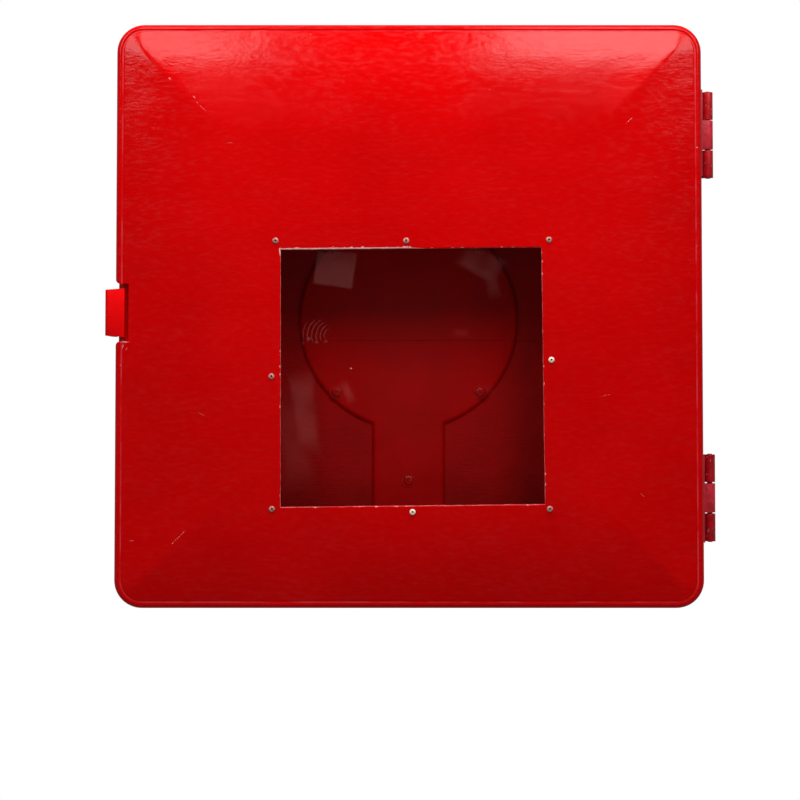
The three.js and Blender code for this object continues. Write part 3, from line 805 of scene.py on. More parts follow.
def new_material(name):
    """An empty node material and its tree."""
    material = bpy.data.materials.new(name)
    material.use_nodes = True
    material.node_tree.nodes.clear()
    return material, material.node_tree


def add(tree, kind, inputs=None, **settings):
    """Adds a node. Inputs are other nodes' outputs, which are linked, or plain values."""
    node = tree.nodes.new(kind)
    for key, value in settings.items():
        setattr(node, key, value)
    for key, value in (inputs or {}).items():
        if isinstance(value, bpy.types.NodeSocket):
            tree.links.new(value, node.inputs[key])
        else:
            node.inputs[key].default_value = value
    return node


def own_place(tree):
    """The place on the piece, in metres."""
    return add(tree, "ShaderNodeTexCoord").outputs["Object"]


def clouds(tree, size, stretch=(1, 1, 1), detail=3.0, seed=0.0):
    """Smooth noise from 0 to 1 whose features are about as large as size, in metres."""
    inputs = {"Vector": own_place(tree), "Location": (seed, seed, seed)}
    inputs["Scale"] = [1 / (size * factor) for factor in stretch]
    place = add(tree, "ShaderNodeMapping", inputs)
    inputs = {"Vector": place.outputs["Vector"], "Scale": 1.0, "Detail": detail}
    return add(tree, "ShaderNodeTexNoise", inputs).outputs["Fac"]


def fibres(tree, size, slant, seed):
    """Thin wandering lines in one direction across the wall plane, from 0 to 1."""
    inputs = {"Vector": own_place(tree), "Location": (seed, 0, 0), "Rotation": (0, slant, 0)}
    inputs["Scale"] = (1 / (size * 14), 1 / (size * 14), 1 / size)
    place = add(tree, "ShaderNodeMapping", inputs)
    inputs = {"Vector": place.outputs["Vector"], "Scale": 1.0, "Detail": 1.0}
    return add(tree, "ShaderNodeTexNoise", inputs).outputs["Fac"]


def spread(tree, value, low, high, to_low=0.0, to_high=1.0):
    """Carries the range low..high smoothly over to another range, and holds it at the ends."""
    inputs = {"Value": value, "From Min": low, "From Max": high, "To Min": to_low, "To Max": to_high}
    return add(tree, "ShaderNodeMapRange", inputs, interpolation_type="SMOOTHSTEP").outputs["Result"]


def math_of(tree, operation, first, second):
    """The result of a sum, product or the like of two values."""
    return add(tree, "ShaderNodeMath", {0: first, 1: second}, operation=operation).outputs["Value"]


def largest(tree, values):
    result = values[0]
    for value in values[1:]:
        result = math_of(tree, "MAXIMUM", result, value)
    return result


def blend_colours(tree, amount, first, second):
    """The first colour where amount is 0 and the second where it is 1."""
    node = add(tree, "ShaderNodeMix", data_type="RGBA")
    for socket, value in ((node.inputs[0], amount), (node.inputs[6], first), (node.inputs[7], second)):
        if isinstance(value, bpy.types.NodeSocket):
            tree.links.new(value, socket)
        else:
            socket.default_value = value
    return node.outputs[2]


def rgb(red, green, blue):
    return (red, green, blue, 1.0)


def mark_place(tree, x, z, length, width, slant):
    """Places measured from a mark's middle, in half lengths and half widths. Sizes in millimetres."""
    inputs = {
        "Vector": own_place(tree),
        "Location": (x * MM, 0, z * MM),
        "Rotation": (0, -math.radians(slant), 0),
        "Scale": (length / 2 * MM, 1000.0, width / 2 * MM),
    }
    return add(tree, "ShaderNodeMapping", inputs, vector_type="TEXTURE").outputs["Vector"]


def mark(tree, x, z, length, width, slant=0.0):
    """A soft-edged lens-shaped mark on the front, 1 at its middle and 0 outside it."""
    place = mark_place(tree, x, z, length, width, slant)
    return add(tree, "ShaderNodeTexGradient", {"Vector": place}, gradient_type="SPHERICAL").outputs["Fac"]


def panel_mark(tree, x, z, length, width, slant, edge):
    """A rectangular mark on the front that fades out over edge, a share of its half size."""
    place = mark_place(tree, x, z, length, width, slant)
    size = add(tree, "ShaderNodeVectorMath", {0: place}, operation="ABSOLUTE").outputs["Vector"]
    parts = add(tree, "ShaderNodeSeparateXYZ", {"Vector": size}).outputs
    return spread(tree, math_of(tree, "MAXIMUM", parts["X"], parts["Z"]), 1.0, 1.0 - edge)


def bump(tree, height, distance, under=None):
    """A normal from a height whose 1 is distance metres high, laid over another normal."""
    inputs = {"Height": height, "Distance": distance, "Strength": 1.0}
    if under is not None:
        inputs["Normal"] = under
    return add(tree, "ShaderNodeBump", inputs).outputs["Normal"]


def finish(tree, colour, roughness, normal, **constants):
    """A principled surface. Constants are set on the shader's own sockets."""
    inputs = {"Base Color": colour, "Roughness": roughness, "Normal": normal}
    inputs.update({key.replace("_", " "): value for key, value in constants.items()})
    shader = add(tree, "ShaderNodeBsdfPrincipled", inputs)
    add(tree, "ShaderNodeOutputMaterial", {"Surface": shader.outputs["BSDF"]})


def window_distance(tree):
    """Distance outside the window's four cut edges, in metres."""
    sides = []
    for start, end in zip(WINDOW_CORNERS, WINDOW_CORNERS[1:] + WINDOW_CORNERS[:1]):
        along = (end - start).normalized()
        away = Vector((along.y, 0, -along.x))
        inputs = {0: own_place(tree), 1: tuple(away)}
        across = add(tree, "ShaderNodeVectorMath", inputs, operation="DOT_PRODUCT").outputs["Value"]
        sides.append(math_of(tree, "SUBTRACT", across, away.dot(Vector((start.x, 0, start.y)))))
    return largest(tree, sides)


# ---------------------------------------------------------------- materials

RED = rgb(0.68, 0.0005, 0.001)
DEEP_RED = rgb(0.61, 0.0003, 0.0008)
CHIPPED = rgb(0.88, 0.4, 0.38)

# Each is the x, z, length, width and slant of a scratch or rub on the door.
DOOR_SCRATCHES = [
    (-273, -264, 19, 0.9, 43), (-266, -257, 11, 0.7, 38), (-279, -270, 7, 0.8, 50),
    (-329, -268, 10, 0.5, 0), (-246, -118, 13, 0.35, -24), (232, -96, 17, 0.35, 12),
    (276, -214, 9, 0.4, -40), (-214, 204, 12, 0.3, 8), (96, 268, 16, 0.3, -6),
    (-343, -60, 3, 2, 30), (344, 200, 2.2, 1.5, 0), (343, 82, 2, 1.5, 20), (-118, 336, 3, 1.2, 0),
    # The first mark on the next row, along the upward-facing bottom edge of the latch pocket, is worn gel
    # coat and partly a painted highlight of that edge.
    (-340, -32.4, 16, 2.6, 0), (-341.4, -39.5, 11, 1.6, 70), (-336, -40.5, 6, 0.8, 60),
    (-285, 281, 6, 2.4, -45), (-248, 248, 22, 0.6, -45), (-256, 259, 6, 0.9, -45),
    (262, 231, 16, 0.9, 44),
]

# Each is the x, z, length, width, slant, soft edge and strength of a pale patch on the pane: a painted
# reflection of the lights.
PANE_PAINTED_REFLECTIONS = [
    (-88, 55, 50, 46, -8, 0.16, 0.03), (86, 62, 60, 38, -30, 0.5, 0.022),
    (98, 40, 20, 50, 12, 0.7, 0.012), (-124, -118, 36, 112, 6, 0.6, 0.026),
    (-138, -150, 50, 150, 10, 1.0, 0.016), (-73, -92, 14, 34, 24, 0.9, 0.026),
    (62, -22, 26, 14, 0, 1.0, 0.01), (-119, -29, 7, 5, 30, 0.8, 0.05),
    (-110, -33, 5, 4, -20, 0.8, 0.05), (-99, -32, 6, 3.5, 10, 0.8, 0.04),
    (-126, -34, 4, 5, 0, 0.8, 0.03), (96, -90, 18, 18, 0, 1.0, 0.006),
    (-69, -64, 2.6, 1.8, -20, 0.6, 0.7),
]


def door_gel_coat():
    """Sprayed and polished red gel coat: orange peel, slight waves, haze, scratches and chips."""
    material, tree = new_material("door_gel_coat")
    broad = clouds(tree, 0.16, detail=2.0)
    mottle = clouds(tree, 0.012, stretch=(2.2, 1, 0.8), detail=4.0, seed=3.0)
    colour = blend_colours(tree, spread(tree, broad, 0.3, 0.7), DEEP_RED, RED)
    mottled = spread(tree, mottle, 0.35, 0.75, 0.0, 0.12)
    colour = blend_colours(tree, mottled, colour, rgb(0.74, 0.002, 0.004))

    scratches = [mark(tree, *place) for place in DOOR_SCRATCHES]
    grain = clouds(tree, 0.0016, detail=3.0, seed=8.0)
    worn = math_of(tree, "MULTIPLY", largest(tree, scratches), spread(tree, grain, 0.38, 0.58))
    worn = spread(tree, worn, 0.1, 0.4)

    away = window_distance(tree)
    ragged = clouds(tree, 0.006, detail=5.0, seed=5.0)
    chip_reach = spread(tree, ragged, 0.5, 0.72, -0.0004, 0.0016)
    sawn_roughly = spread(tree, mark(tree, -80, 77, 230, 30), 0.0, 0.4, 0.0, 0.0024)
    chip_reach = math_of(tree, "ADD", chip_reach, sawn_roughly)
    chips = spread(tree, math_of(tree, "SUBTRACT", chip_reach, away), 0.0, 0.0003)
    worn = math_of(tree, "MAXIMUM", worn, chips)
    colour = blend_colours(tree, worn, colour, CHIPPED)

    specks = spread(tree, clouds(tree, 0.0022, detail=1.0, seed=12.0), 0.72, 0.76, 0.0, 0.5)
    colour = blend_colours(tree, specks, colour, rgb(0.45, 0.001, 0.002))

    dulling = clouds(tree, 0.05, stretch=(1.6, 1, 0.8), detail=5.0, seed=20.0)
    roughness = spread(tree, dulling, 0.3, 0.7, 0.075, 0.125)
    streaks = clouds(tree, 0.0045, stretch=(2.6, 1, 0.8), detail=5.0, seed=30.0)
    roughness = math_of(tree, "ADD", roughness, spread(tree, streaks, 0.42, 0.68, 0.0, 0.1))
    roughness = math_of(tree, "ADD", roughness, math_of(tree, "MULTIPLY", worn, 0.4))

    waves = clouds(tree, 0.06, stretch=(1.4, 1, 0.8), detail=1.0, seed=40.0)
    ripples = clouds(tree, 0.013, stretch=(1.5, 1, 0.8), detail=2.0, seed=45.0)
    peel = clouds(tree, 0.0034, stretch=(1.7, 1, 0.8), detail=3.0, seed=50.0)
    normal = bump(tree, waves, 0.6 * MM)
    normal = bump(tree, ripples, 0.15 * MM, under=normal)
    normal = bump(tree, peel, 0.1 * MM, under=normal)
    normal = bump(tree, math_of(tree, "SUBTRACT", 0.0, worn), 0.15 * MM, under=normal)
    finish(tree, colour, roughness, normal)
    return material


def painted_groove_highlight():
    """Red gel coat with a pale pink line painted along the groove round the door: a painted highlight of
    the groove.
    """
    material, tree = new_material("painted_groove_highlight")
    # Painted highlight: the pale pink, rougher patches mark where the groove catches the light.
    left = spread(tree, clouds(tree, 0.03, detail=5.0, seed=6.0), 0.35, 0.65, 0.05, 0.6)
    colour = blend_colours(tree, left, RED, rgb(0.74, 0.06, 0.085))
    roughness = spread(tree, left, 0.0, 1.0, 0.12, 0.4)
    finish(tree, colour, roughness, bump(tree, clouds(tree, 0.0034, detail=3.0), 0.06 * MM))
    return material


def cut_laminate():
    """The sawn edge of the glass-fibre: pale resin, red gel coat smeared over it, fibre ends."""
    material, tree = new_material("cut_laminate")
    patches = clouds(tree, 0.011, detail=4.0, seed=2.0)
    fibre_ends = clouds(tree, 0.0011, detail=3.0, seed=4.0)
    bare = spread(tree, patches, 0.42, 0.62)
    colour = blend_colours(tree, bare, rgb(0.6, 0.012, 0.02), rgb(0.8, 0.16, 0.17))
    pale = spread(tree, fibre_ends, 0.4, 0.75, 0.0, 0.5)
    colour = blend_colours(tree, pale, colour, rgb(0.88, 0.5, 0.45))
    roughness = spread(tree, fibre_ends, 0.2, 0.8, 0.5, 0.85)
    finish(tree, colour, roughness, bump(tree, fibre_ends, 0.25 * MM))
    return material


def body_gel_coat():
    """The same gel coat as on the door, unpolished."""
    material, tree = new_material("body_gel_coat")
    broad = clouds(tree, 0.12, detail=2.0, seed=1.0)
    mottle = clouds(tree, 0.01, detail=4.0, seed=3.0)
    colour = blend_colours(tree, spread(tree, broad, 0.3, 0.7), DEEP_RED, RED)
    mottled = spread(tree, mottle, 0.4, 0.8, 0.0, 0.14)
    colour = blend_colours(tree, mottled, colour, rgb(0.42, 0.004, 0.008))
    roughness = spread(tree, clouds(tree, 0.04, detail=5.0, seed=6.0), 0.25, 0.75, 0.2, 0.4)
    normal = bump(tree, clouds(tree, 0.08, detail=1.0, seed=7.0), 0.6 * MM)
    normal = bump(tree, clouds(tree, 0.004, detail=2.0, seed=9.0), 0.03 * MM, under=normal)
    finish(tree, colour, roughness, normal)
    return material


def flow_coat(name, colour_low, colour_high, strand_height, foot_shade_amount=0.0, crease_amount=0.0):
    """Red flow coat brushed over chopped-strand mat, whose fibres show through it.

    Its foot can be darkened by painted shade, and a crease can run across it, darkened by painted shade
    along its line.
    """
    material, tree = new_material(name)
    directions = ((0.3, 1), (1.4, 5), (2.5, 9), (-0.6, 13))
    strands = [fibres(tree, 0.0014, slant, seed) for slant, seed in directions]
    web = spread(tree, largest(tree, strands), 0.5, 0.8)
    blotches = clouds(tree, 0.045, detail=5.0, seed=2.0)
    colour = blend_colours(tree, spread(tree, blotches, 0.3, 0.7), colour_low, colour_high)
    colour = blend_colours(tree, spread(tree, web, 0.0, 1.0, 0.0, 0.25), colour, rgb(0.78, 0.004, 0.005))
    dust = spread(tree, clouds(tree, 0.008, detail=6.0, seed=15.0), 0.58, 0.8, 0.0, 0.2)
    colour = blend_colours(tree, dust, colour, rgb(0.6, 0.03, 0.03))
    # Painted shade: the coat darkens towards its foot, where less light falls.
    height = add(tree, "ShaderNodeSeparateXYZ", {"Vector": own_place(tree)}).outputs["Z"]
    foot_shade = spread(tree, height, -0.28, -0.17, foot_shade_amount, 0.0)
    colour = blend_colours(tree, foot_shade, colour, rgb(0.12, 0.001, 0.001))
    crease = spread(tree, mark(tree, 0, CREASE_HEIGHT / MM, 640, 2.6), 0.0, 1.0, 0.0, crease_amount)
    # Painted shade: the crease is darkened in the colour as well as dented by the bump.
    shaded = spread(tree, crease, 0.0, 0.5, 0.0, 0.4)
    colour = blend_colours(tree, shaded, colour, rgb(0.2, 0.001, 0.001))
    roughness = spread(tree, blotches, 0.2, 0.8, 0.36, 0.6)
    normal = bump(tree, blotches, 0.8 * MM)
    normal = bump(tree, web, strand_height, under=normal)
    normal = bump(tree, math_of(tree, "SUBTRACT", 1.0, crease), 0.5 * MM, under=normal)
    finish(tree, colour, roughness, normal, Specular_IOR_Level=0.2)
    return material


def enamel(name, colour, brush_height, bare_start=0.68):
    """Red enamel put on by brush: faint streaks, runs, and small bare spots."""
    material, tree = new_material(name)
    streaks = clouds(tree, 0.0012, stretch=(1, 1, 9), detail=3.0, seed=4.0)
    runs = clouds(tree, 0.009, detail=3.0, seed=6.0)
    darker = tuple(channel * 0.68 for channel in colour[:3]) + (1.0,)
    shade = blend_colours(tree, spread(tree, runs, 0.3, 0.7), darker, colour)
    bare = spread(tree, clouds(tree, 0.0032, detail=5.0, seed=11.0), bare_start, bare_start + 0.04)
    primed = spread(tree, streaks, 0.4, 0.6)
    under_paint = blend_colours(tree, primed, rgb(0.2, 0.07, 0.05), rgb(0.62, 0.42, 0.28))
    shade = blend_colours(tree, bare, shade, under_paint)
    roughness = spread(tree, streaks, 0.3, 0.7, 0.26, 0.42)
    roughness = math_of(tree, "ADD", roughness, math_of(tree, "MULTIPLY", bare, 0.3))
    normal = bump(tree, runs, 0.22 * MM)
    normal = bump(tree, streaks, brush_height, under=normal)
    normal = bump(tree, math_of(tree, "SUBTRACT", 1.0, bare), 0.08 * MM, under=normal)
    finish(tree, shade, roughness, normal)
    return material


def clip_nylon():
    """Bright red moulded nylon, sun-bleached in patches and scuffed by thumbs."""
    material, tree = new_material("clip_nylon")
    bleach = clouds(tree, 0.018, detail=3.0, seed=2.0)
    bleached = spread(tree, bleach, 0.3, 0.75)
    colour = blend_colours(tree, bleached, rgb(0.86, 0.0004, 0.0012), rgb(0.96, 0.0006, 0.002))
    scuffs = clouds(tree, 0.0016, stretch=(7, 7, 1), detail=4.0, seed=9.0)
    scuffed = spread(tree, scuffs, 0.66, 0.78, 0.0, 0.12)
    colour = blend_colours(tree, scuffed, colour, rgb(0.9, 0.1, 0.09))
    roughness = spread(tree, scuffs, 0.3, 0.7, 0.3, 0.42)
    normal = bump(tree, clouds(tree, 0.0007, detail=2.0, seed=5.0), 0.02 * MM)
    normal = bump(tree, bleach, 0.15 * MM, under=normal)
    finish(tree, colour, roughness, normal, Specular_IOR_Level=0.1)
    return material


def metal(name, colour, dirt, polish, dirt_start=0.5, bareness=1.0):
    """Metal with fine scratches, and dirt or corrosion in blotches.

    bareness is how metallic its clean parts look: 1 for bare metal, near 0 for a dull film over it.
    """
    material, tree = new_material(name)
    blotches = clouds(tree, 0.0024, detail=5.0, seed=3.0)
    lines = clouds(tree, 0.00025, stretch=(6, 1, 1), detail=2.0, seed=7.0)
    dirty = spread(tree, blotches, dirt_start, dirt_start + 0.22, 0.0, 0.8)
    shade = blend_colours(tree, dirty, colour, dirt)
    roughness = spread(tree, lines, 0.3, 0.7, polish, polish + 0.16)
    roughness = math_of(tree, "ADD", roughness, math_of(tree, "MULTIPLY", dirty, 0.3))
    metallic = spread(tree, dirty, 0.0, 1.0, bareness, bareness * 0.25)
    normal = bump(tree, lines, 0.006 * MM)
    normal = bump(tree, blotches, 0.03 * MM, under=normal)
    finish(tree, shade, roughness, normal, Metallic=metallic)
    return material


def rubber():
    """Black rubber with a grey bloom."""
    material, tree = new_material("aged_rubber")
    bloom = clouds(tree, 0.012, detail=5.0, seed=1.0)
    bloomed = spread(tree, bloom, 0.4, 0.75)
    colour = blend_colours(tree, bloomed, rgb(0.012, 0.011, 0.011), rgb(0.026, 0.024, 0.023))
    roughness = spread(tree, bloom, 0.2, 0.8, 0.6, 0.85)
    cells = clouds(tree, 0.0007, detail=2.0, seed=5.0)
    finish(tree, colour, roughness, bump(tree, cells, 0.05 * MM))
    return material


def acrylic():
    """Clear sheet with pale patches that are painted reflections of the lights, wiping swirls and
    scratches.
    """
    material, tree = new_material("window_acrylic")
    painted_reflections = []
    for *place, strength in PANE_PAINTED_REFLECTIONS:
        painted_reflections.append(math_of(tree, "MULTIPLY", panel_mark(tree, *place), strength))
    wiped = clouds(tree, 0.02, stretch=(1, 1, 1.6), detail=6.0, seed=3.0)
    reflection_patches = math_of(tree, "MULTIPLY", largest(tree, painted_reflections), spread(tree, wiped, 0.3, 0.55, 0.45, 1.0))

    centre = {"Vector": own_place(tree), "Location": (0.088, 0, 0.03), "Scale": (1, 0, 1.2)}
    rings = add(tree, "ShaderNodeMapping", centre).outputs["Vector"]
    inputs = {"Vector": rings, "Scale": 62.0, "Distortion": 1.4, "Detail": 2.0, "Detail Scale": 2.0}
    swirls = add(tree, "ShaderNodeTexWave", inputs, wave_type="RINGS", rings_direction="SPHERICAL")
    swirled = spread(tree, swirls.outputs["Fac"], 0.8, 1.0, 0.0, 0.05)
    swirled = math_of(tree, "MULTIPLY", swirled, spread(tree, mark(tree, -112, -20, 44, 36, 20), 0.1, 0.5))

    hair_lines = spread(tree, fibres(tree, 0.0007, 0.5, 3.0), 0.74, 0.8, 0.0, 0.01)
    veil = math_of(tree, "ADD", math_of(tree, "ADD", reflection_patches, swirled), hair_lines)

    # Painted reflection: the veil's pink colour makes the patches look like reflections of the lights and
    # the red cabinet, and also shows the swirls and hair lines.
    haze_colour = blend_colours(tree, wiped, rgb(0.8, 0.27, 0.25), rgb(0.85, 0.4, 0.37))
    dust = add(tree, "ShaderNodeBsdfDiffuse", {"Color": haze_colour})
    clear = add(tree, "ShaderNodeBsdfTransparent", {"Color": rgb(0.99, 0.992, 0.992)})
    waviness = bump(tree, clouds(tree, 0.07, detail=1.0, seed=8.0), 0.4 * MM)
    gloss_roughness = spread(tree, wiped, 0.3, 0.7, 0.02, 0.07)
    shine = add(tree, "ShaderNodeBsdfGlossy", {"Roughness": gloss_roughness, "Normal": waviness})
    sheet = add(tree, "ShaderNodeMixShader", {0: veil, 1: clear.outputs["BSDF"], 2: dust.outputs["BSDF"]})
    facing = add(tree, "ShaderNodeLayerWeight", {"Blend": 0.5, "Normal": waviness}).outputs["Facing"]
    mirrored = spread(tree, math_of(tree, "POWER", facing, 5.0), 0.0, 1.0, 0.04, 1.0)
    inputs = {0: mirrored, 1: sheet.outputs["Shader"], 2: shine.outputs["BSDF"]}
    pane = add(tree, "ShaderNodeMixShader", inputs)
    add(tree, "ShaderNodeOutputMaterial", {"Surface": pane.outputs["Shader"]})
    return material


# ---------------------------------------------------------------- assembly

def mark_faces(piece, material, belongs):
    """Gives one more material to the faces for which belongs(centre, normal) is true."""
    piece.data.materials.append(material)
    for face in piece.data.polygons:
        if belongs(face.center, face.normal):
            face.material_index = len(piece.data.materials) - 1


def in_window(centre):
    """Whether a face of the door is at the window or within a few millimetres of it."""
    low = min(corner.y for corner in WINDOW_CORNERS) - 4 * MM
    high = max(corner.y for corner in WINDOW_CORNERS) + 6 * MM
    return abs(centre.x) < 165 * MM and low < centre.z < high


def faces_middle(centre, normal, share):
    """Whether a face turns towards the cabinet's middle line by at least a share of its direction."""
    return centre.x * normal.x + centre.z * normal.z < -share * math.hypot(centre.x, centre.z)


def is_cut_edge(centre, normal):
    return in_window(centre) and abs(normal.y) < 0.6


def is_in_groove(centre, normal):
    inset = outline_distance(centre.x, centre.z)
    return normal.y < -0.5 and abs(inset - GROOVE_INSET) < 0.9 * MM


def is_inside_door(centre, normal):
    in_pocket = centre.x < -330 * MM and abs(centre.z) < 60 * MM
    on_skirt = faces_middle(centre, normal, 0.5) and not in_window(centre) and not in_pocket
    return normal.y > 0.3 or on_skirt


def is_inside_body(centre, normal):
    on_back_wall = normal.y < -0.5 and centre.y > -20 * MM
    on_side_wall = faces_middle(centre, normal, 0.2) and centre.y > -175 * MM
    return on_back_wall or on_side_wall


door = hand_in(door_shell(), "door", "door_gel_coat", door_gel_coat(), "door_shell")
mark_faces(door, cut_laminate(), is_cut_edge)
mark_faces(door, painted_groove_highlight(), is_in_groove)
inside_coat = flow_coat(
    "door_inside_flow_coat", rgb(0.62, 0.0005, 0.001), rgb(0.74, 0.0008, 0.0014), 0.12 * MM)
mark_faces(door, inside_coat, is_inside_door)

body = hand_in(body_shell(), "cabinet", "body_gel_coat", body_gel_coat(), "body_shell")
interior = flow_coat(
    "interior_flow_coat", rgb(0.6, 0.0004, 0.0009), rgb(0.7, 0.0006, 0.0012), 0.12 * MM,
    foot_shade_amount=0.6, crease_amount=0.75)
mark_faces(body, interior, is_inside_body)

# Painted light: the pad's flow coat is lighter than the wall's, for the pad catching more light.
lit_pad_coat = flow_coat(
    "lit_pad_flow_coat", rgb(0.77, 0.0005, 0.0009), rgb(0.86, 0.0007, 0.0012), 0.05 * MM,
    foot_shade_amount=0.25, crease_amount=0.45)
hand_in(back_pad(), "cabinet", "pad_gel_coat", lit_pad_coat, "back_pad")

black_rubber = rubber()
hand_in(door_gasket(), "cabinet", "rubber", black_rubber, "door_gasket")
finish_node("window_seal", black_rubber)
finish_node("window_pane", acrylic())

clean_rivet = metal("clean_rivet", rgb(0.96, 0.84, 0.66), rgb(0.62, 0.3, 0.24), 0.42, 0.6, bareness=0.02)
# The dirty rivets' base colour is lighter and pinker than their own tone: partly a painted pink highlight,
# while the dark blotches are dirt.
dirty_rivet_pink_sheen = metal("dirty_rivet_pink_sheen", rgb(0.66, 0.35, 0.29), rgb(0.2, 0.03, 0.02), 0.4, 0.42, bareness=0.1)
# The broken mandrel ends are near black.
near_black_mandrel = metal(
    "near_black_mandrel", rgb(0.05, 0.02, 0.015), rgb(0.09, 0.03, 0.015), 0.6, 0.5, bareness=0.1)
zinc = metal("zinc_plate", rgb(0.62, 0.61, 0.58), rgb(0.2, 0.15, 0.1), 0.28, 0.56)
for place_name in RIVET_PLACES:
    metal_seen = clean_rivet if place_name in ("bottom_middle", "right") else dirty_rivet_pink_sheen
    rivet, is_mandrel = window_rivet(place_name)
    hand_in(rivet, "door", "aluminium", metal_seen, f"window_rivet_{place_name}")
    mark_faces(rivet, near_black_mandrel, is_mandrel)
    finish_node(f"rivet_washer_{place_name}", clean_rivet)

screw_paint = enamel("painted_screw", rgb(0.88, 0.003, 0.004), 0.01 * MM)
for place_name in PAD_SCREW_PLACES:
    screw, washer = pad_fixing(place_name)
    hand_in(screw, "cabinet", "painted_screw", screw_paint, f"pad_screw_{place_name}")
    hand_in(washer, "cabinet", "painted_screw", screw_paint, f"pad_washer_{place_name}")

upper_enamel = enamel("upper_hinge_enamel", rgb(0.72, 0.006, 0.014), 0.03 * MM, 0.62)
lower_enamel = enamel("lower_hinge_enamel", rgb(0.6, 0.002, 0.012), 0.03 * MM, 0.64)
# Painted sheen: the door leaves get a lighter, pinker copy of the hinge enamel, for the light on their flat
# lugs.
leaf_sheen_enamel = enamel("hinge_enamel_painted_sheen", rgb(0.82, 0.026, 0.05), 0.03 * MM)
for level, body_enamel in (("upper", upper_enamel), ("lower", lower_enamel)):
    for side, rides_on in (("door", "door"), ("body", "cabinet")):
        hinge_enamel = leaf_sheen_enamel if side == "door" else body_enamel
        leaf_name = f"{level}_hinge_{side}_leaf"
        hand_in(hinge_leaf(level, side), rides_on, "painted_steel", hinge_enamel, leaf_name)
        for seed, end in enumerate(("lower", "upper")):
            screw_name = f"{level}_hinge_{side}_screw_{end}"
            hand_in(leaf_screw(screw_name, seed), rides_on, "painted_steel", hinge_enamel, screw_name)
    pin_name = f"{level}_hinge_pin"
    hand_in(hinge_pin(level), "cabinet", "painted_steel", body_enamel, pin_name)

nylon = clip_nylon()
hand_in(latch_clip(), "clip", "nylon", nylon, "latch_clip")
hand_in(latch_base(), "cabinet", "nylon", nylon, "latch_base")
hand_in(latch_pin(), "cabinet", "zinc_steel", zinc, "latch_pin")
hand_in(latch_spring(), "cabinet", "zinc_steel", zinc, "latch_spring")
for seed, end in enumerate(("lower", "upper")):
    screw_name = f"latch_screw_{end}"
    hand_in(latch_screw(screw_name, seed), "cabinet", "zinc_steel", zinc, screw_name)


# ---------------------------------------------------------------- floor, light and camera

def pale_floor():
    """A large pale disc below the cabinet that fades out towards its edge."""
    radius, height, steps = 2.2, -1.08, 96
    floor = make_piece("pale_floor", circle(radius, height, steps), [tuple(range(steps))])
    material, tree = new_material("pale_floor")
    flat = {"Vector": own_place(tree), "Scale": (1, 1, 0)}
    place = add(tree, "ShaderNodeMapping", flat).outputs["Vector"]
    reach = add(tree, "ShaderNodeVectorMath", {0: place}, operation="LENGTH").outputs["Value"]
    fade = spread(tree, reach, 1.0, 1.9, 1.0, 0.0)
    tone = blend_colours(tree, clouds(tree, 0.3), rgb(0.8, 0.8, 0.79), rgb(0.84, 0.84, 0.83))
    roughness = spread(tree, clouds(tree, 0.02), 0.2, 0.8, 0.6, 0.8)
    normal = bump(tree, clouds(tree, 0.01), 0.1 * MM)
    glow = {"Emission_Color": rgb(1, 1, 0.99), "Emission_Strength": 0.28}
    finish(tree, tone, roughness, normal, Alpha=fade, **glow)
    floor.data.materials.append(material)
    floor.visible_glossy = False
    floor.visible_diffuse = False


def softbox(name, place, aim, width, height, power, lights):
    """An area light. It lights "surfaces" or is only seen in "reflections"."""
    light = bpy.data.lights.new(name, "AREA")
    light.shape = "RECTANGLE"
    light.size = width
    light.size_y = height
    light.energy = power
    lamp = bpy.data.objects.new(name, light)
    lamp.location = place
    lamp.rotation_euler = (Vector(aim) - Vector(place)).to_track_quat("-Z", "Y").to_euler()
    lamp.visible_glossy = lights != "surfaces"
    lamp.visible_diffuse = lights != "reflections"
    lamp.visible_camera = False
    bpy.context.scene.collection.objects.link(lamp)


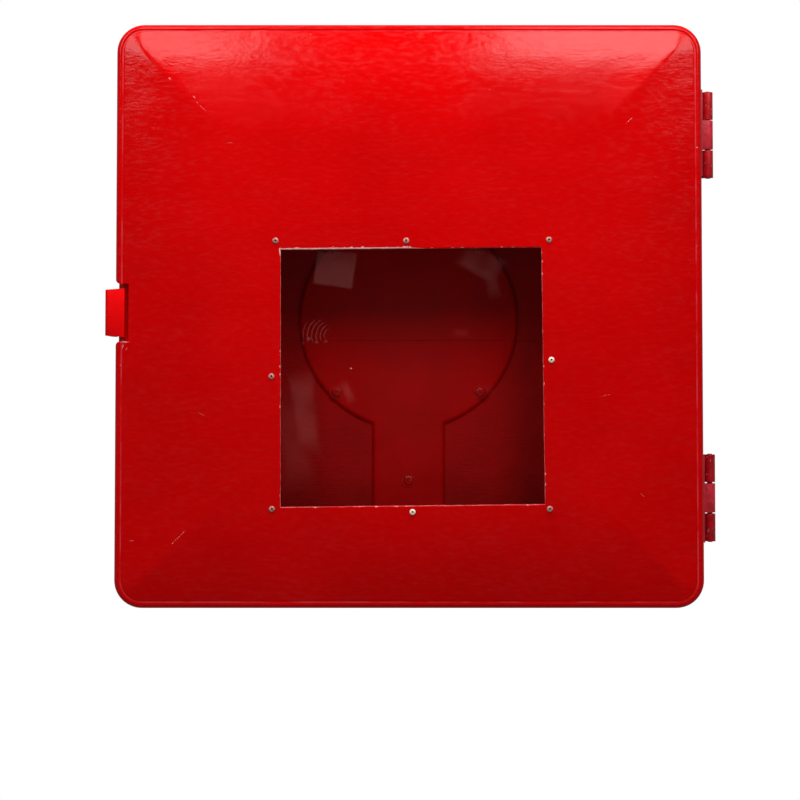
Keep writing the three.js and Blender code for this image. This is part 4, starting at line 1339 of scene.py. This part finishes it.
def studio_light():
    """Two front softboxes, panels high up that are only reflected, and an overhead softbox."""
    distance, sideways, up = 2.43, math.radians(10.2), math.radians(27.2)
    flat = distance * math.cos(up)
    across, forward, rise = flat * math.sin(sideways), flat * math.cos(sideways), distance * math.sin(up)
    for name, side, power in (("left_softbox", -1, 5.8), ("right_softbox", 1, 10.6)):
        place = (side * across, -PLATEAU - forward, rise)
        softbox(name, place, (0, -PLATEAU, 0), 0.45, 0.8, power, lights="surfaces")
    panels = (("left_panel", -0.615, 0.47, 2.9), ("right_panel", 0.585, 0.73, 3.9))
    for name, x, width, radiance in panels:
        height = 0.84
        power = radiance * math.pi * width * height
        place, aim = (x, -2.42, 1.72), (x, -PLATEAU, 1.0)
        softbox(name, place, aim, width, height, power, lights="reflections")
    for name, x in (("left_side_panel", -1.4), ("right_side_panel", 1.4)):
        softbox(name, (x, -2.3, 1.24), (0.2 * x, -PLATEAU, 0.3), 0.6, 1.0, 5.0, lights="reflections")
    softbox("overhead_softbox", (0, -0.62, 1.3), (0, -0.45, 0), 1.3, 0.8, 30, lights="surfaces")


def white_studio():
    """A sky the camera sees as white, mirrored dimly and mostly from behind the cabinet."""
    world = bpy.data.worlds.new("white_studio")
    world.use_nodes = True
    tree = world.node_tree
    tree.nodes.clear()
    direction = add(tree, "ShaderNodeTexCoord").outputs["Generated"]
    parts = add(tree, "ShaderNodeSeparateXYZ", {"Vector": direction}).outputs
    mirrored = spread(tree, parts["Y"], -0.75, 0.1, 0.004, 0.16)
    cast = spread(tree, parts["Z"], -0.98, -0.55, 0.02, 0.25)
    ray = add(tree, "ShaderNodeLightPath").outputs
    on_surfaces = math_of(tree, "MULTIPLY", ray["Is Diffuse Ray"], cast)
    in_reflections = math_of(tree, "MULTIPLY", ray["Is Glossy Ray"], mirrored)
    lit = math_of(tree, "ADD", on_surfaces, in_reflections)
    strength = math_of(tree, "ADD", lit, ray["Is Camera Ray"])
    background = add(tree, "ShaderNodeBackground", {"Color": rgb(1, 1, 1), "Strength": strength})
    add(tree, "ShaderNodeOutputWorld", {"Surface": background.outputs["Background"]})
    bpy.context.scene.world = world


def camera():
    """The camera, fitted to the outline of the cabinet in the photo."""
    lens = bpy.data.cameras.new("camera")
    lens.sensor_width = 36
    lens.lens = 92.64
    lens.shift_y = -0.1273
    lens.shift_x = -0.0009
    lens.clip_end = 50
    stand = bpy.data.objects.new("camera", lens)
    stand.location = (-0.010, -2.672, -0.0865)
    stand.rotation_euler = (math.radians(90 + 2.48), 0, 0)
    bpy.context.scene.collection.objects.link(stand)
    bpy.context.scene.camera = stand


pale_floor()
studio_light()
white_studio()
camera()
bpy.context.scene.view_settings.view_transform = "Standard"
